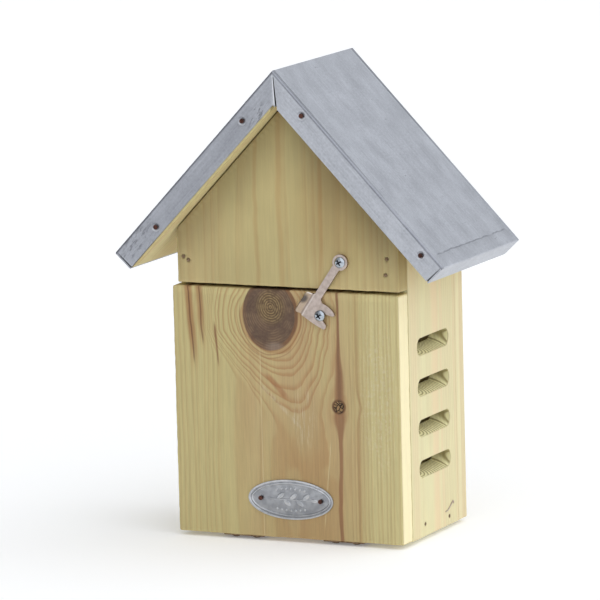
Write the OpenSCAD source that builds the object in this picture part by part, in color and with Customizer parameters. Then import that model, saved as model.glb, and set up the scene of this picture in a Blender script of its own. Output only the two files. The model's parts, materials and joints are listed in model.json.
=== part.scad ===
// Pine insect house with a tip-down front door and a folded zinc roof.
// +Z is up and the door faces -Y. The origin is under the middle of the roof,
// at the height of the lowest screw heads.

/* [Body] */
// Width across the front, from one side board to the other
body_w = 140; // [120:1:170]
// Height of the tip-down door
door_h = 143; // [135:1:160]
// Thickness of every pine board
board_t = 12; // [10:0.5:14]
// Depth of the chamber, from the door to the back board
chamber_d = 64; // [55:1:90]
// Gap between the door and the gable panel above it
seam = 1.5; // [1:0.1:3]
// How far the gable panel stands in from the door's left edge
gable_in = 2; // [0:0.1:2.5]
// How far the gable panel's left slope stops below the roof board
gable_drop = 1.5; // [0:0.1:2]
// How far the door stands out past the left side board
door_lap = 1.5; // [0:0.1:2]
// Play between the door and the boards behind it
door_play = 0.3; // [0.2:0.1:0.6]

/* [Roof] */
// Slope of each side of the roof, in degrees from level
pitch = 46.5; // [44:0.5:49]
// Height of the ridge above the underside of the boards
ridge_h = 269; // [255:1:290]
// Half the width of the roof, from the ridge to an eave
roof_half_w = 102; // [95:1:115]
// How far the roof reaches in front of the boards
front_reach = 11; // [8:0.5:20]
// How far the roof reaches behind the back board
rear_reach = 10; // [8:0.5:20]
// Thickness of the zinc sheet
sheet_t = 0.7; // [0.5:0.1:1]
// Depth of the sheet's folded edges, measured square to the slope
fold_d = 13.4; // [13.2:0.1:16]

/* [Entrance slots] */
// Number of slots in each side board
slot_count = 4; // [2:1:4]
// Length of a slot from front to back
slot_l = 44; // [30:1:44]
// Height of a slot, square to its own slant
slot_h = 9.8; // [8:0.1:11]
// Distance from one slot to the next
slot_pitch = 23.4; // [20:0.1:24]
// Height of the lowest slot above the underside of the boards
slot_low = 39; // [34:1:50]
// Upward slant of the slots towards the inside, in degrees
slot_slant = 15; // [0:1:18]

/* [Hinges] */
// Distance of each hinge from the middle of the door
hinge_x = 31.3; // [25:0.1:40]
// Width of a hinge
hinge_w = 25; // [22:1:28]
// Depth of each hinge leaf
leaf_d = 10.5; // [10:0.1:11]
// Thickness of a hinge leaf
leaf_t = 0.8; // [0.6:0.1:0.8]
// Diameter of the hinge barrel
barrel_d = 2; // [2:0.1:2.2]
// Diameter of the hinge pin
pin_d = 1.2; // [1:0.1:1.3]
// Distance between the two screws of a leaf
leaf_screw_gap = 13; // [12:0.5:14]

/* [Hook] */
// Distance of the hook's pivot to the right of the middle
hook_x = 34.8; // [20:0.1:40]
// Height of the hook's pivot above the top of the door
hook_rise = 17.5; // [16:0.5:19]
// Thickness of the hook plate
hook_t = 1.2; // [1:0.1:1.5]
// Distance from the pivot to the keeper screw
keeper_r = 33.5; // [33:0.1:34]
// Angle of the keeper screw from straight below the pivot
keeper_angle = 23; // [22:0.5:24]
// Angle between the hook's arm and the line to the keeper screw
hook_crank = 11; // [10.5:0.5:11.5]
// Forward bend of the finger tab, in degrees
tab_bend = 41; // [30:1:60]

/* [Name plate] */
// Length of the oval plate
plate_w = 53; // [44:1:60]
// Height of the oval plate
plate_h = 23; // [18:1:26]
// Height of the plate's centre above the underside of the boards
plate_z = 22.5; // [18:0.5:40]
// Distance between the two plate nails
plate_nail_gap = 37.4; // [34:0.2:38]

/* [Hanger] */
// Radius of the keyhole's round opening
keyhole_r = 4; // [3:0.1:4.5]
// Width of the slot above the round opening
keyhole_slot = 4; // [3:0.1:4]
// Height of the keyhole above the underside of the boards
keyhole_z = 196; // [190:1:200]

/* [Hidden] */
$fn = 48;

// Colours
PINE = "#d8cb93";
ZINC = "#8f979f";
STEEL = "#b4b6b8";
BRONZE = "#6a5138";

// Screws and nails: head diameter, head height, shank diameter
HINGE_SCREW = [6, 1.6, 2.6];
HOOK_SCREW = [6.4, 2, 3.5];
HANGER_SCREW = [6, 1.6, 3];
FASCIA_NAIL = [2.6, 0.5, 1.4];
BOARD_NAIL = [2.6, 0.8, 1.5];
BRAD = [1.8, 1, 1.2];
PLATE_NAIL = [2.6, 0.6, 1.2];
hole_play = 0.02;
recess_w = 0.9;
recess_d = 0.9;
tip_l = 2;

// Heights
base_z = leaf_t + HINGE_SCREW[1];
door_top_z = base_z + door_h;
gable_z = door_top_z + seam;
ridge_z = base_z + ridge_h;

// Places from front to back
depth = front_reach + 2 * board_t + chamber_d + rear_reach;
roof_front_y = -depth / 2;
roof_rear_y = depth / 2;
front_y = roof_front_y + front_reach;
inner_front_y = front_y + board_t;
inner_rear_y = inner_front_y + chamber_d;
rear_y = inner_rear_y + board_t;

// Roof
under_d = sheet_t + board_t;
slope_l = roof_half_w / cos(pitch);
// Nails in the folded front edge: side, distance down the slope, depth below the slope
FASCIA_NAILS = [[-1, 34.5, 5.8], [-1, 118.5, 8.2], [1, 30, 4.6], [1, 134, 5.2]];
fascia_nail_l = 16;
roof_nail_l = 26;
ROOF_NAILS = [for (side = [-1, 1], y = [front_y, inner_rear_y] + board_t / 2 * [1, 1], a = [45, 85])
    [side, a, y]];

// Nails and brads in the body: x or y, then height above the underside of the boards
GABLE_BRADS = [[-64, 159.5], [-61, 157.5], [62.8, 163.4], [61.8, 154.2]];
gable_brad_l = 24;
SIDE_NAILS = [[17.5, 7], [51.5, 5]];
side_nail_l = 25;
BACK_NAILS = [for (side = [-1, 1], z = [30, 90, 150]) [side * (body_w - board_t) / 2, z],
              for (side = [-1, 1]) [side * 30, board_t / 2]];
back_nail_l = 25;

// Hinges
barrel_drop = barrel_d / 2 + 0.1;
axis_y = inner_front_y;
axis_z = base_z - barrel_drop;
leaf_gap = barrel_d / 2 + 0.3;
knuckle_x = 4;
knuckle_play = 0.3;
leaf_screw_y = 6.3;
hinge_screw_l = 9;

// Hook
hook_z = door_top_z + hook_rise;
washer_t = 0.8;
eye_r = 4.6;
hook_play = 0.1;
hook_back_y = front_y - washer_t - hook_play;
hook_head_y = hook_back_y - hook_t - hook_play;
keeper_head_y = hook_back_y - hook_t - 0.4;
keeper_x = hook_x - keeper_r * sin(keeper_angle);
keeper_z = hook_z - keeper_r * cos(keeper_angle);
door_front_y = front_y - door_play;
notch_w = HOOK_SCREW[2] + 0.6;
// Angle from the keeper screw's centre to the closed end of the notch
notch_end = asin(notch_w / 2 / keeper_r);
hook_lean = keeper_angle + hook_crank;
tab_w = -3.4;
tab_start = 24.4;
tab_l = 14.4;
tab_reach = 5.2;
// The hook's outline: along the arm, then across it, with the notch open towards +
HOOK_OUTLINE = [[2, -2.7], [24, -2.9], [24, -3.4], [39.4, -3.4], [39.4, 5], [38.4, 13.4],
                [35.6, 12.9], [33.6, 9.4], [31, 9.4], [28.9, 12.9], [26.9, 13.6], [26, 11],
                [25.7, 8.3], [26, 5.2], [26, 2.6], [23.7, 1.6], [19, 1.9], [2, 1.9]];

// Name plate
plate_t = 0.8;
plate_nail_l = 9;

// Hanger
hanger_t = 1.5;
hanger_w = 22;
hanger_h = 46;
hanger_screw_rise = [-9.5, 28];
hanger_screw_l = 9;
pocket_d = 7;
pocket_play = 1.5;
keyhole_rise = 11;
cut = 1;

// Height of the underside of the roof boards, at a distance from the middle
function under_z(x) = ridge_z - under_d / cos(pitch) - abs(x) * tan(pitch);

// A point of the right-hand slope, from its distance down the slope and its depth
function slope_point(a, d) =
    [a * cos(pitch) - d * sin(pitch), ridge_z - a * sin(pitch) - d * cos(pitch)];

// ---- Helpers ----

// Extrudes a front-view outline from y0 to y1
module along_y(y0, y1) {
    translate([0, y1, 0]) rotate([90, 0, 0]) linear_extrude(y1 - y0) children();
}

// Mirrors to the left where side is -1
module on_side(side) {
    mirror([side < 0 ? 1 : 0, 0, 0]) children();
}

// Front-view outline of one side of the roof between two depths, down to length a
module slope_outline(d0, d1, a) {
    polygon([[0, ridge_z - d0 / cos(pitch)], slope_point(a, d0),
             slope_point(a, d1), [0, ridge_z - d1 / cos(pitch)]]);
}

// Front-view outline of a board that reaches up under both slopes
module gable_outline(z0) {
    polygon([[-body_w / 2, z0], [body_w / 2, z0], [body_w / 2, under_z(body_w / 2)],
             [0, under_z(0)], [-body_w / 2, under_z(body_w / 2)]]);
}

// Front-view outline of the gable panel, which fits the right slope and clears the left one
module gable_panel_outline() {
    edge = body_w / 2;
    apex = (gable_in + gable_drop / tan(pitch)) / 2;
    polygon([[gable_in - edge, gable_z], [edge, gable_z], [edge, under_z(edge)],
             [apex, under_z(apex)], [gable_in - edge, under_z(edge) - gable_drop]]);
}

// A pan-head screw with its head above z = 0 and its shank below
module pan_screw(kind, length) {
    dome = 0.8 * kind[1];
    dome_r = (pow(kind[0] / 2, 2) + dome * dome) / (2 * dome);
    difference() {
        union() {
            intersection() {
                translate([0, 0, kind[1] - dome_r]) sphere(dome_r);
                cylinder(d = kind[0], h = kind[1]);
            }
            translate([0, 0, tip_l - length]) cylinder(d = kind[2], h = length - tip_l + 0.2);
            translate([0, 0, -length]) cylinder(d1 = 0.4, d2 = kind[2], h = tip_l);
        }
        for (turn = [0, 90]) rotate(turn)
            translate([-kind[0] / 4, -recess_w / 2, kind[1] - recess_d])
                cube([kind[0] / 2, recess_w, 2 * recess_d]);
    }
}

// A flat-headed nail with its head above z = 0 and its shank below
module nail(kind, length) {
    cylinder(d = kind[0], h = kind[1]);
    translate([0, 0, tip_l - length]) cylinder(d = kind[2], h = length - tip_l + 0.2);
    translate([0, 0, -length]) cylinder(d1 = 0.3, d2 = kind[2], h = tip_l);
}

// The hole that a screw or nail stands in, with room for its head above z = 0
module fastener_hole(kind, length) {
    translate([0, 0, -length - 0.2]) cylinder(d = kind[2] + 2 * hole_play, h = length + 0.3);
    cylinder(d = kind[0] + 2 * hole_play, h = kind[1] + cut);
}

// ---- Places that several pieces share ----

module at_roof_nails(side) {
    for (place = ROOF_NAILS) if (place[0] == side) on_side(side)
        translate([0, place[2], ridge_z]) rotate([0, pitch, 0])
            translate([place[1], 0, -sheet_t - BOARD_NAIL[1]]) children();
}

module at_fascia_nails_front() {
    for (place = FASCIA_NAILS) on_side(place[0])
        translate([0, roof_front_y, 0] + [slope_point(place[1], place[2])[0], 0,
                                          slope_point(place[1], place[2])[1]])
            rotate([90, 0, 0]) children();
}

module at_fascia_nails_rear() {
    mirror([0, 1, 0]) at_fascia_nails_front() children();
}

module at_gable_brads() {
    for (place = GABLE_BRADS) translate([place[0], front_y + BRAD[1], base_z + place[1]])
        rotate([90, 0, 0]) children();
}

module at_side_nails(side) {
    on_side(side) for (place = SIDE_NAILS)
        translate([body_w / 2 - BRAD[1], inner_front_y + place[0], base_z + place[1]])
            rotate([0, 90, 0]) children();
}

module at_back_nails() {
    for (place = BACK_NAILS) translate([place[0], rear_y - BRAD[1], base_z + place[1]])
        rotate([-90, 0, 0]) children();
}

module at_leaf_screws(y) {
    for (side = [-1, 1], end = [-1, 1])
        translate([side * hinge_x + end * leaf_screw_gap / 2, y, base_z - leaf_t])
            rotate([180, 0, 0]) children();
}

module at_hook_pivot(y) {
    translate([hook_x, y, hook_z]) rotate([90, 0, 0]) children();
}

module at_keeper() {
    translate([keeper_x, keeper_head_y, keeper_z]) rotate([90, 0, 0]) children();
}

module at_plate_nails() {
    for (end = [-1, 1])
        translate([end * plate_nail_gap / 2, door_front_y - plate_t, base_z + plate_z])
            rotate([90, 0, 0]) children();
}

module at_hanger_screws() {
    for (rise = hanger_screw_rise)
        translate([0, rear_y + hanger_t, base_z + keyhole_z + rise]) rotate([-90, 0, 0]) children();
}

// ---- Pine boards ----

module front_door() {
    color(PINE) difference() {
        translate([-body_w / 2 - door_lap, door_front_y, base_z])
            cube([body_w + door_lap, board_t, door_h]);
        at_leaf_screws(axis_y - leaf_screw_y) fastener_hole(HINGE_SCREW, hinge_screw_l);
        at_keeper() fastener_hole(HOOK_SCREW, 11);
        at_plate_nails() fastener_hole(PLATE_NAIL, plate_nail_l);
    }
}

module gable_panel() {
    color(PINE) difference() {
        along_y(front_y, inner_front_y) gable_panel_outline();
        at_hook_pivot(hook_head_y) fastener_hole(HOOK_SCREW, 13);
        at_gable_brads() fastener_hole(BRAD, gable_brad_l);
        for (side = [-1, 1]) at_roof_nails(side) fastener_hole(BOARD_NAIL, roof_nail_l);
    }
}

// One entrance slot, slanting up towards the inside of a right-hand board
module slot_cut() {
    rotate([0, slot_slant, 0]) {
        cube([4 * board_t, slot_l - slot_h, slot_h], center = true);
        for (end = [-1, 1]) translate([0, end * (slot_l - slot_h) / 2, 0]) rotate([0, 90, 0])
            cylinder(d = slot_h, h = 4 * board_t, center = true);
    }
}

module side_board(side) {
    difference() {
        on_side(side) difference() {
            along_y(inner_front_y, inner_rear_y) polygon([
                [body_w / 2 - board_t, base_z], [body_w / 2, base_z],
                [body_w / 2, under_z(body_w / 2)],
                [body_w / 2 - board_t, under_z(body_w / 2 - board_t)]]);
            for (i = [0 : slot_count - 1])
                translate([body_w / 2, (inner_front_y + inner_rear_y) / 2 + 1,
                           base_z + slot_low + i * slot_pitch]) slot_cut();
        }
        at_side_nails(side) fastener_hole(BRAD, side_nail_l);
        at_gable_brads() fastener_hole(BRAD, gable_brad_l);
        at_back_nails() fastener_hole(BRAD, back_nail_l);
    }
}

module left_side() { color(PINE) side_board(-1); }

module right_side() { color(PINE) side_board(1); }

// The keyhole's shape as a solid of thickness t, grown by play all round
module keyhole_cut(t, play) {
    cylinder(r = keyhole_r + play, h = t);
    translate([-keyhole_slot / 2 - play, 0, 0]) cube([keyhole_slot + 2 * play, keyhole_rise, t]);
    translate([0, keyhole_rise, 0]) cylinder(r = keyhole_slot / 2 + play, h = t);
}

module back_board() {
    color(PINE) difference() {
        along_y(inner_rear_y, rear_y) gable_outline(base_z);
        translate([0, rear_y + cut, base_z + keyhole_z]) rotate([90, 0, 0])
            keyhole_cut(pocket_d + cut, pocket_play);
        at_back_nails() fastener_hole(BRAD, back_nail_l);
        at_hanger_screws() fastener_hole(HANGER_SCREW, hanger_screw_l);
        for (side = [-1, 1]) at_roof_nails(side) fastener_hole(BOARD_NAIL, roof_nail_l);
    }
}

module floor_board() {
    color(PINE) difference() {
        translate([-body_w / 2 + board_t, inner_front_y, base_z])
            cube([body_w - 2 * board_t, chamber_d, board_t]);
        for (side = [-1, 1]) at_side_nails(side) fastener_hole(BRAD, side_nail_l);
        at_back_nails() fastener_hole(BRAD, back_nail_l);
        at_leaf_screws(axis_y + leaf_screw_y) fastener_hole(HINGE_SCREW, hinge_screw_l);
    }
}

module roof_board(side) {
    difference() {
        on_side(side) along_y(roof_front_y + sheet_t, roof_rear_y - sheet_t)
            slope_outline(sheet_t, under_d, slope_l - sheet_t);
        at_roof_nails(side) fastener_hole(BOARD_NAIL, roof_nail_l);
        at_fascia_nails_front() fastener_hole(FASCIA_NAIL, fascia_nail_l);
        at_fascia_nails_rear() fastener_hole(FASCIA_NAIL, fascia_nail_l);
    }
}

module roof_board_left() { color(PINE) roof_board(-1); }

module roof_board_right() { color(PINE) roof_board(1); }

// ---- Zinc roof ----

// One sheet, bent at the ridge, with folded-down front, rear and eave edges
module roof_sheet() {
    color(ZINC) difference() {
        for (side = [-1, 1]) on_side(side)
            along_y(roof_front_y, roof_rear_y) slope_outline(0, fold_d, slope_l);
        for (side = [-1, 1]) on_side(side)
            along_y(roof_front_y + sheet_t, roof_rear_y - sheet_t)
                slope_outline(sheet_t, fold_d + cut, slope_l - sheet_t);
        at_fascia_nails_front() fastener_hole(FASCIA_NAIL, fascia_nail_l);
        at_fascia_nails_rear() fastener_hole(FASCIA_NAIL, fascia_nail_l);
    }
}

module roof_nails() {
    color(STEEL) for (side = [-1, 1]) at_roof_nails(side) nail(BOARD_NAIL, roof_nail_l);
}

module fascia_nails_front() {
    color(BRONZE) at_fascia_nails_front() nail(FASCIA_NAIL, fascia_nail_l);
}

module fascia_nails_rear() {
    color(BRONZE) at_fascia_nails_rear() nail(FASCIA_NAIL, fascia_nail_l);
}

// ---- Nails of the body ----

module gable_brads() { color(BRONZE) at_gable_brads() nail(BRAD, gable_brad_l); }

module side_nails_left() { color(BRONZE) at_side_nails(-1) nail(BRAD, side_nail_l); }

module side_nails_right() { color(BRONZE) at_side_nails(1) nail(BRAD, side_nail_l); }

module back_nails() { color(BRONZE) at_back_nails() nail(BRAD, back_nail_l); }

// ---- Hinges ----

// A leaf that lies under the boards behind the barrel's axis, with knuckles between x ranges
module hinge_leaf(knuckles, bore_d) {
    difference() {
        union() {
            translate([-hinge_w / 2, leaf_gap, barrel_drop - leaf_t])
                cube([hinge_w, leaf_d - leaf_gap, leaf_t]);
            for (range = knuckles) translate([range[0], 0, 0]) {
                rotate([0, 90, 0]) cylinder(d = barrel_d, h = range[1] - range[0]);
                translate([0, 0, barrel_drop - leaf_t])
                    cube([range[1] - range[0], leaf_gap + 0.1, leaf_t]);
            }
        }
        rotate([0, 90, 0]) cylinder(d = bore_d, h = 2 * hinge_w, center = true);
        for (end = [-1, 1]) translate([end * leaf_screw_gap / 2, leaf_screw_y, 0])
            cylinder(d = HINGE_SCREW[2] + 2 * hole_play, h = 4 * leaf_t, center = true);
    }
}

module fixed_leaf(side) {
    edge = knuckle_x + knuckle_play;
    translate([side * hinge_x, axis_y, axis_z])
        hinge_leaf([[-hinge_w / 2, -edge], [edge, hinge_w / 2]], pin_d);
}

module door_leaf(side) {
    translate([side * hinge_x, axis_y, axis_z]) mirror([0, 1, 0])
        hinge_leaf([[-knuckle_x, knuckle_x]], pin_d + 2 * hole_play);
}

module hinge_pin(side) {
    translate([side * hinge_x, axis_y, axis_z]) rotate([0, 90, 0])
        cylinder(d = pin_d, h = hinge_w, center = true);
}

module left_hinge_fixed_leaf() { color(BRONZE) fixed_leaf(-1); }

module right_hinge_fixed_leaf() { color(BRONZE) fixed_leaf(1); }

module left_hinge_door_leaf() { color(BRONZE) door_leaf(-1); }

module right_hinge_door_leaf() { color(BRONZE) door_leaf(1); }

module left_hinge_pin() { color(STEEL) hinge_pin(-1); }

module right_hinge_pin() { color(STEEL) hinge_pin(1); }

module hinge_screws_floor() {
    color(BRONZE) at_leaf_screws(axis_y + leaf_screw_y) pan_screw(HINGE_SCREW, hinge_screw_l);
}

module hinge_screws_door() {
    color(BRONZE) at_leaf_screws(axis_y - leaf_screw_y) pan_screw(HINGE_SCREW, hinge_screw_l);
}

// ---- Hook and keeper ----

// The hook lies along +X from its pivot, with its back on z = 0
module hook_plate() {
    difference() {
        union() {
            linear_extrude(hook_t) {
                circle(r = eye_r);
                polygon(HOOK_OUTLINE);
            }
            translate([tab_start, tab_w, 0]) rotate([-tab_bend, 0, 0])
                translate([0, -tab_reach, 0]) cube([tab_l, tab_reach, hook_t]);
        }
        translate([0, 0, -cut]) linear_extrude(hook_t + 2 * cut) {
            circle(d = HOOK_SCREW[2] + 0.1);
            difference() {
                intersection() {
                    circle(r = keeper_r + notch_w / 2, $fn = 180);
                    rotate(hook_crank - notch_end) square(2 * keeper_r);
                }
                circle(r = keeper_r - notch_w / 2, $fn = 180);
            }
        }
    }
}

module hook() {
    color(STEEL) at_hook_pivot(hook_back_y) rotate(-90 - hook_lean) hook_plate();
}

module hook_washer() {
    color(STEEL) at_hook_pivot(front_y) difference() {
        cylinder(r = eye_r, h = washer_t);
        translate([0, 0, -cut]) cylinder(d = HOOK_SCREW[2] + 2 * hole_play, h = washer_t + 2 * cut);
    }
}

module hook_pivot_screw() { color(STEEL) at_hook_pivot(hook_head_y) pan_screw(HOOK_SCREW, 13); }

module keeper_screw() { color(STEEL) at_keeper() pan_screw(HOOK_SCREW, 11); }

// ---- Name plate ----

module name_plate() {
    color(ZINC) difference() {
        translate([0, door_front_y, base_z + plate_z]) rotate([90, 0, 0]) linear_extrude(plate_t)
            polygon([for (i = [0 : 71]) [plate_w / 2 * cos(5 * i), plate_h / 2 * sin(5 * i)]]);
        at_plate_nails() fastener_hole(PLATE_NAIL, plate_nail_l);
    }
}

module plate_nails() { color(STEEL) at_plate_nails() nail(PLATE_NAIL, plate_nail_l); }

// ---- Hanger ----

module hanger_plate() {
    color(STEEL) difference() {
        translate([-hanger_w / 2, rear_y, base_z + keyhole_z - hanger_h / 3])
            cube([hanger_w, hanger_t, hanger_h]);
        translate([0, rear_y + hanger_t + cut, base_z + keyhole_z]) rotate([90, 0, 0])
            keyhole_cut(hanger_t + 2 * cut, 0);
        at_hanger_screws() fastener_hole(HANGER_SCREW, hanger_screw_l);
    }
}

module hanger_screws() { color(STEEL) at_hanger_screws() pan_screw(HANGER_SCREW, hanger_screw_l); }

front_door();
gable_panel();
left_side();
right_side();
back_board();
floor_board();
roof_board_left();
roof_board_right();
roof_sheet();
roof_nails();
fascia_nails_front();
fascia_nails_rear();
gable_brads();
side_nails_left();
side_nails_right();
back_nails();
left_hinge_fixed_leaf();
right_hinge_fixed_leaf();
left_hinge_door_leaf();
right_hinge_door_leaf();
left_hinge_pin();
right_hinge_pin();
hinge_screws_floor();
hinge_screws_door();
hook();
hook_washer();
hook_pivot_screw();
keeper_screw();
name_plate();
plate_nails();
hanger_plate();
hanger_screws();
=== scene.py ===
# %% [markdown]
# This script dresses the imported model of a small pine insect house. The frame comes first: every
# CAD part is loaded at its place, in metres, with +Z up and the door facing -Y. The box is kept, and
# the hook's CAD box is printed beside the box of its finished piece.

# %% Load the frame
import json
import math

import bmesh
import bpy
from mathutils import Matrix, Vector, noise


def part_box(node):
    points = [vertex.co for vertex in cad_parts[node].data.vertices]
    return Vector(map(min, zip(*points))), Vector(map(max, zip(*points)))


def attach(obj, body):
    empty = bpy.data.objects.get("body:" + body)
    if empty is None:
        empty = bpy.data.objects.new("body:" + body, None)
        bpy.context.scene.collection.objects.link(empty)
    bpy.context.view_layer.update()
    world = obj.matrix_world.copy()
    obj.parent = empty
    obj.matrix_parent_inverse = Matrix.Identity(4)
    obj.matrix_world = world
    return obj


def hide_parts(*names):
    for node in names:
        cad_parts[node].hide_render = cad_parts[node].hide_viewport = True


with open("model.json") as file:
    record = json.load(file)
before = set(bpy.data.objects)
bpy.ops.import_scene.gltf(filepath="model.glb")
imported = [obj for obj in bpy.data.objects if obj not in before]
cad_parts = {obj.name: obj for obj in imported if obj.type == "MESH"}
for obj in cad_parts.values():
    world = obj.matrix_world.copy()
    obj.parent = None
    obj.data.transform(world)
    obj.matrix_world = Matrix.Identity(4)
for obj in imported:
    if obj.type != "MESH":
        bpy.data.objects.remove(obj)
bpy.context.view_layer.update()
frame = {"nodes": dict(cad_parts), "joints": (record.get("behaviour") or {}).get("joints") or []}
MM = 0.001

# %% [markdown]
# Places are read off the CAD parts themselves, so the pieces stay on the frame if a size changes.
# The corner boxes of the boards give the faces that the small parts sit on, and the joints give the
# hook's pivot and the hinge's axis.

# %% Measure the frame
DOOR_LO, DOOR_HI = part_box("front_door")
GABLE_LO, GABLE_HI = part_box("gable_panel")
SIDE_LO, SIDE_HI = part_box("right_side")
SHEET_LO, SHEET_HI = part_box("roof_sheet")
PLATE_LO, PLATE_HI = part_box("name_plate")
HOOK_LO, HOOK_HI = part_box("hook")
HANGER_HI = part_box("hanger_plate")[1]
JOINTS = {joint["name"]: joint for joint in frame["joints"]}
PIVOT = Vector(JOINTS["hook_swing"]["pos_m"])
AXLE = Vector(JOINTS["door_hinge"]["pos_m"])
BASE_Z = DOOR_LO[2]
RIDGE_Z = SHEET_HI[2]
FRONT_Y = SHEET_LO[1]
REAR_Y = SHEET_HI[1]
PITCH = math.radians(46.5)
SHEET_T = 0.7 * MM
FOLD_D = 13.4 * MM
BOARD_T = 12 * MM
SLOPE_L = 102 * MM / math.cos(PITCH)
print("ridge at", round(RIDGE_Z / MM, 1), "mm; door underside at", round(BASE_Z / MM, 1), "mm")
print("hook pivot", [round(v / MM, 1) for v in PIVOT])

# %% [markdown]
# Modelling here means selecting some faces or edges and running an operator on them, as by hand.
# A few helpers do the selecting: everything is deselected first, because the loaded parts are all
# still selected, and then one object is made active.

# %% Helpers for modelling
def only(obj):
    """Selects one object alone and makes it active."""
    bpy.ops.object.select_all(action="DESELECT")
    obj.select_set(True)
    bpy.context.view_layer.objects.active = obj
    return obj


def newest(name):
    """Names the object that an operator has just added."""
    obj = bpy.context.object
    obj.name = name
    obj.data.name = name
    return only(obj)


def settle(obj):
    """Puts an object's place, turn and size into its mesh."""
    only(obj)
    bpy.ops.object.transform_apply(location=True, rotation=True, scale=True)
    return obj


def pick(obj, faces=None, edges=None, verts=None):
    """Enters edit mode with only the faces, edges or points selected that a test accepts."""
    only(obj)
    bpy.ops.object.mode_set(mode="EDIT")
    kind = "FACE" if faces else "EDGE" if edges else "VERT"
    bpy.ops.mesh.select_mode(type=kind)
    bpy.ops.mesh.select_all(action="DESELECT")
    shape = bmesh.from_edit_mesh(obj.data)
    shape.normal_update()
    if faces:
        for face in shape.faces:
            face.select_set(bool(faces(face)))
    elif edges:
        for edge in shape.edges:
            edge.select_set(bool(edges(edge)))
    else:
        for vert in shape.verts:
            vert.select_set(bool(verts(vert)))
    shape.select_flush_mode()
    bmesh.update_edit_mesh(obj.data)


def done():
    """Leaves edit mode."""
    bpy.ops.object.mode_set(mode="OBJECT")


def apply(obj, kind, **settings):
    """Adds a modifier with these settings and applies it."""
    only(obj)
    modifier = obj.modifiers.new(kind.title(), kind)
    for key, value in settings.items():
        setattr(modifier, key, value)
    bpy.ops.object.modifier_apply(modifier=modifier.name)
    return obj


def outward(obj):
    """Merges doubles and turns every face outwards."""
    pick(obj, verts=lambda v: True)
    bpy.ops.mesh.remove_doubles(threshold=0.000005)
    bpy.ops.mesh.normals_make_consistent(inside=False)
    done()
    return obj


def smooth(obj, degrees=35):
    """Shades an object smooth except at edges sharper than this angle."""
    only(obj)
    bpy.ops.object.shade_smooth_by_angle(angle=math.radians(degrees))
    return obj


def joined(pieces, name):
    """Joins several objects into one."""
    bpy.ops.object.select_all(action="DESELECT")
    for piece in pieces:
        piece.select_set(True)
    bpy.context.view_layer.objects.active = pieces[0]
    bpy.ops.object.join()
    return newest(name)


def stand_for(obj, body, slot, *nodes):
    """Rides a finished piece on its body in place of its CAD nodes."""
    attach(obj, body)
    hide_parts(*nodes)
    print(obj.name, "stands for", ", ".join(nodes), "with", len(obj.data.polygons), "faces")


# %% [markdown]
# Every finish is a small network of nodes. Written out node by node, a wood grain takes pages, so
# two little classes keep it readable. `Value` wraps a socket, and + - * / on it add Math nodes.
# `Finish` owns a material's tree and adds any other node from its type, settings and inputs.

# %% Helpers for materials
class Value:
    """A socket whose arithmetic adds Math nodes to its material."""

    def __init__(self, finish, socket):
        self.finish = finish
        self.socket = socket

    def math(self, operation, *others, clamp=False):
        node = self.finish.tree.nodes.new("ShaderNodeMath")
        node.operation = operation
        node.use_clamp = clamp
        for place, item in enumerate((self, *others)):
            self.finish.feed(node.inputs[place], item)
        return Value(self.finish, node.outputs[0])

    def __add__(self, other):
        return self.math("ADD", other)

    def __sub__(self, other):
        return self.math("SUBTRACT", other)

    def __mul__(self, other):
        return self.math("MULTIPLY", other)

    def __truediv__(self, other):
        return self.math("DIVIDE", other)

    def __pow__(self, other):
        return self.math("POWER", other)

    def __neg__(self):
        return self.math("MULTIPLY", -1.0)

    def __radd__(self, other):
        return self.math("ADD", other)

    def __rmul__(self, other):
        return self.math("MULTIPLY", other)

    def __rsub__(self, other):
        return self.finish.number(other).math("SUBTRACT", self)

    def __rtruediv__(self, other):
        return self.finish.number(other).math("DIVIDE", self)

    def lift(self, low, high, to_low=0.0, to_high=1.0):
        """Maps low..high to to_low..to_high with a smooth ramp, and holds the ends."""
        return self.finish.node("ShaderNodeMapRange", {"interpolation_type": "SMOOTHSTEP"}, "Result",
                                Value=self, From_Min=low, From_Max=high, To_Min=to_low, To_Max=to_high)


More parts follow.
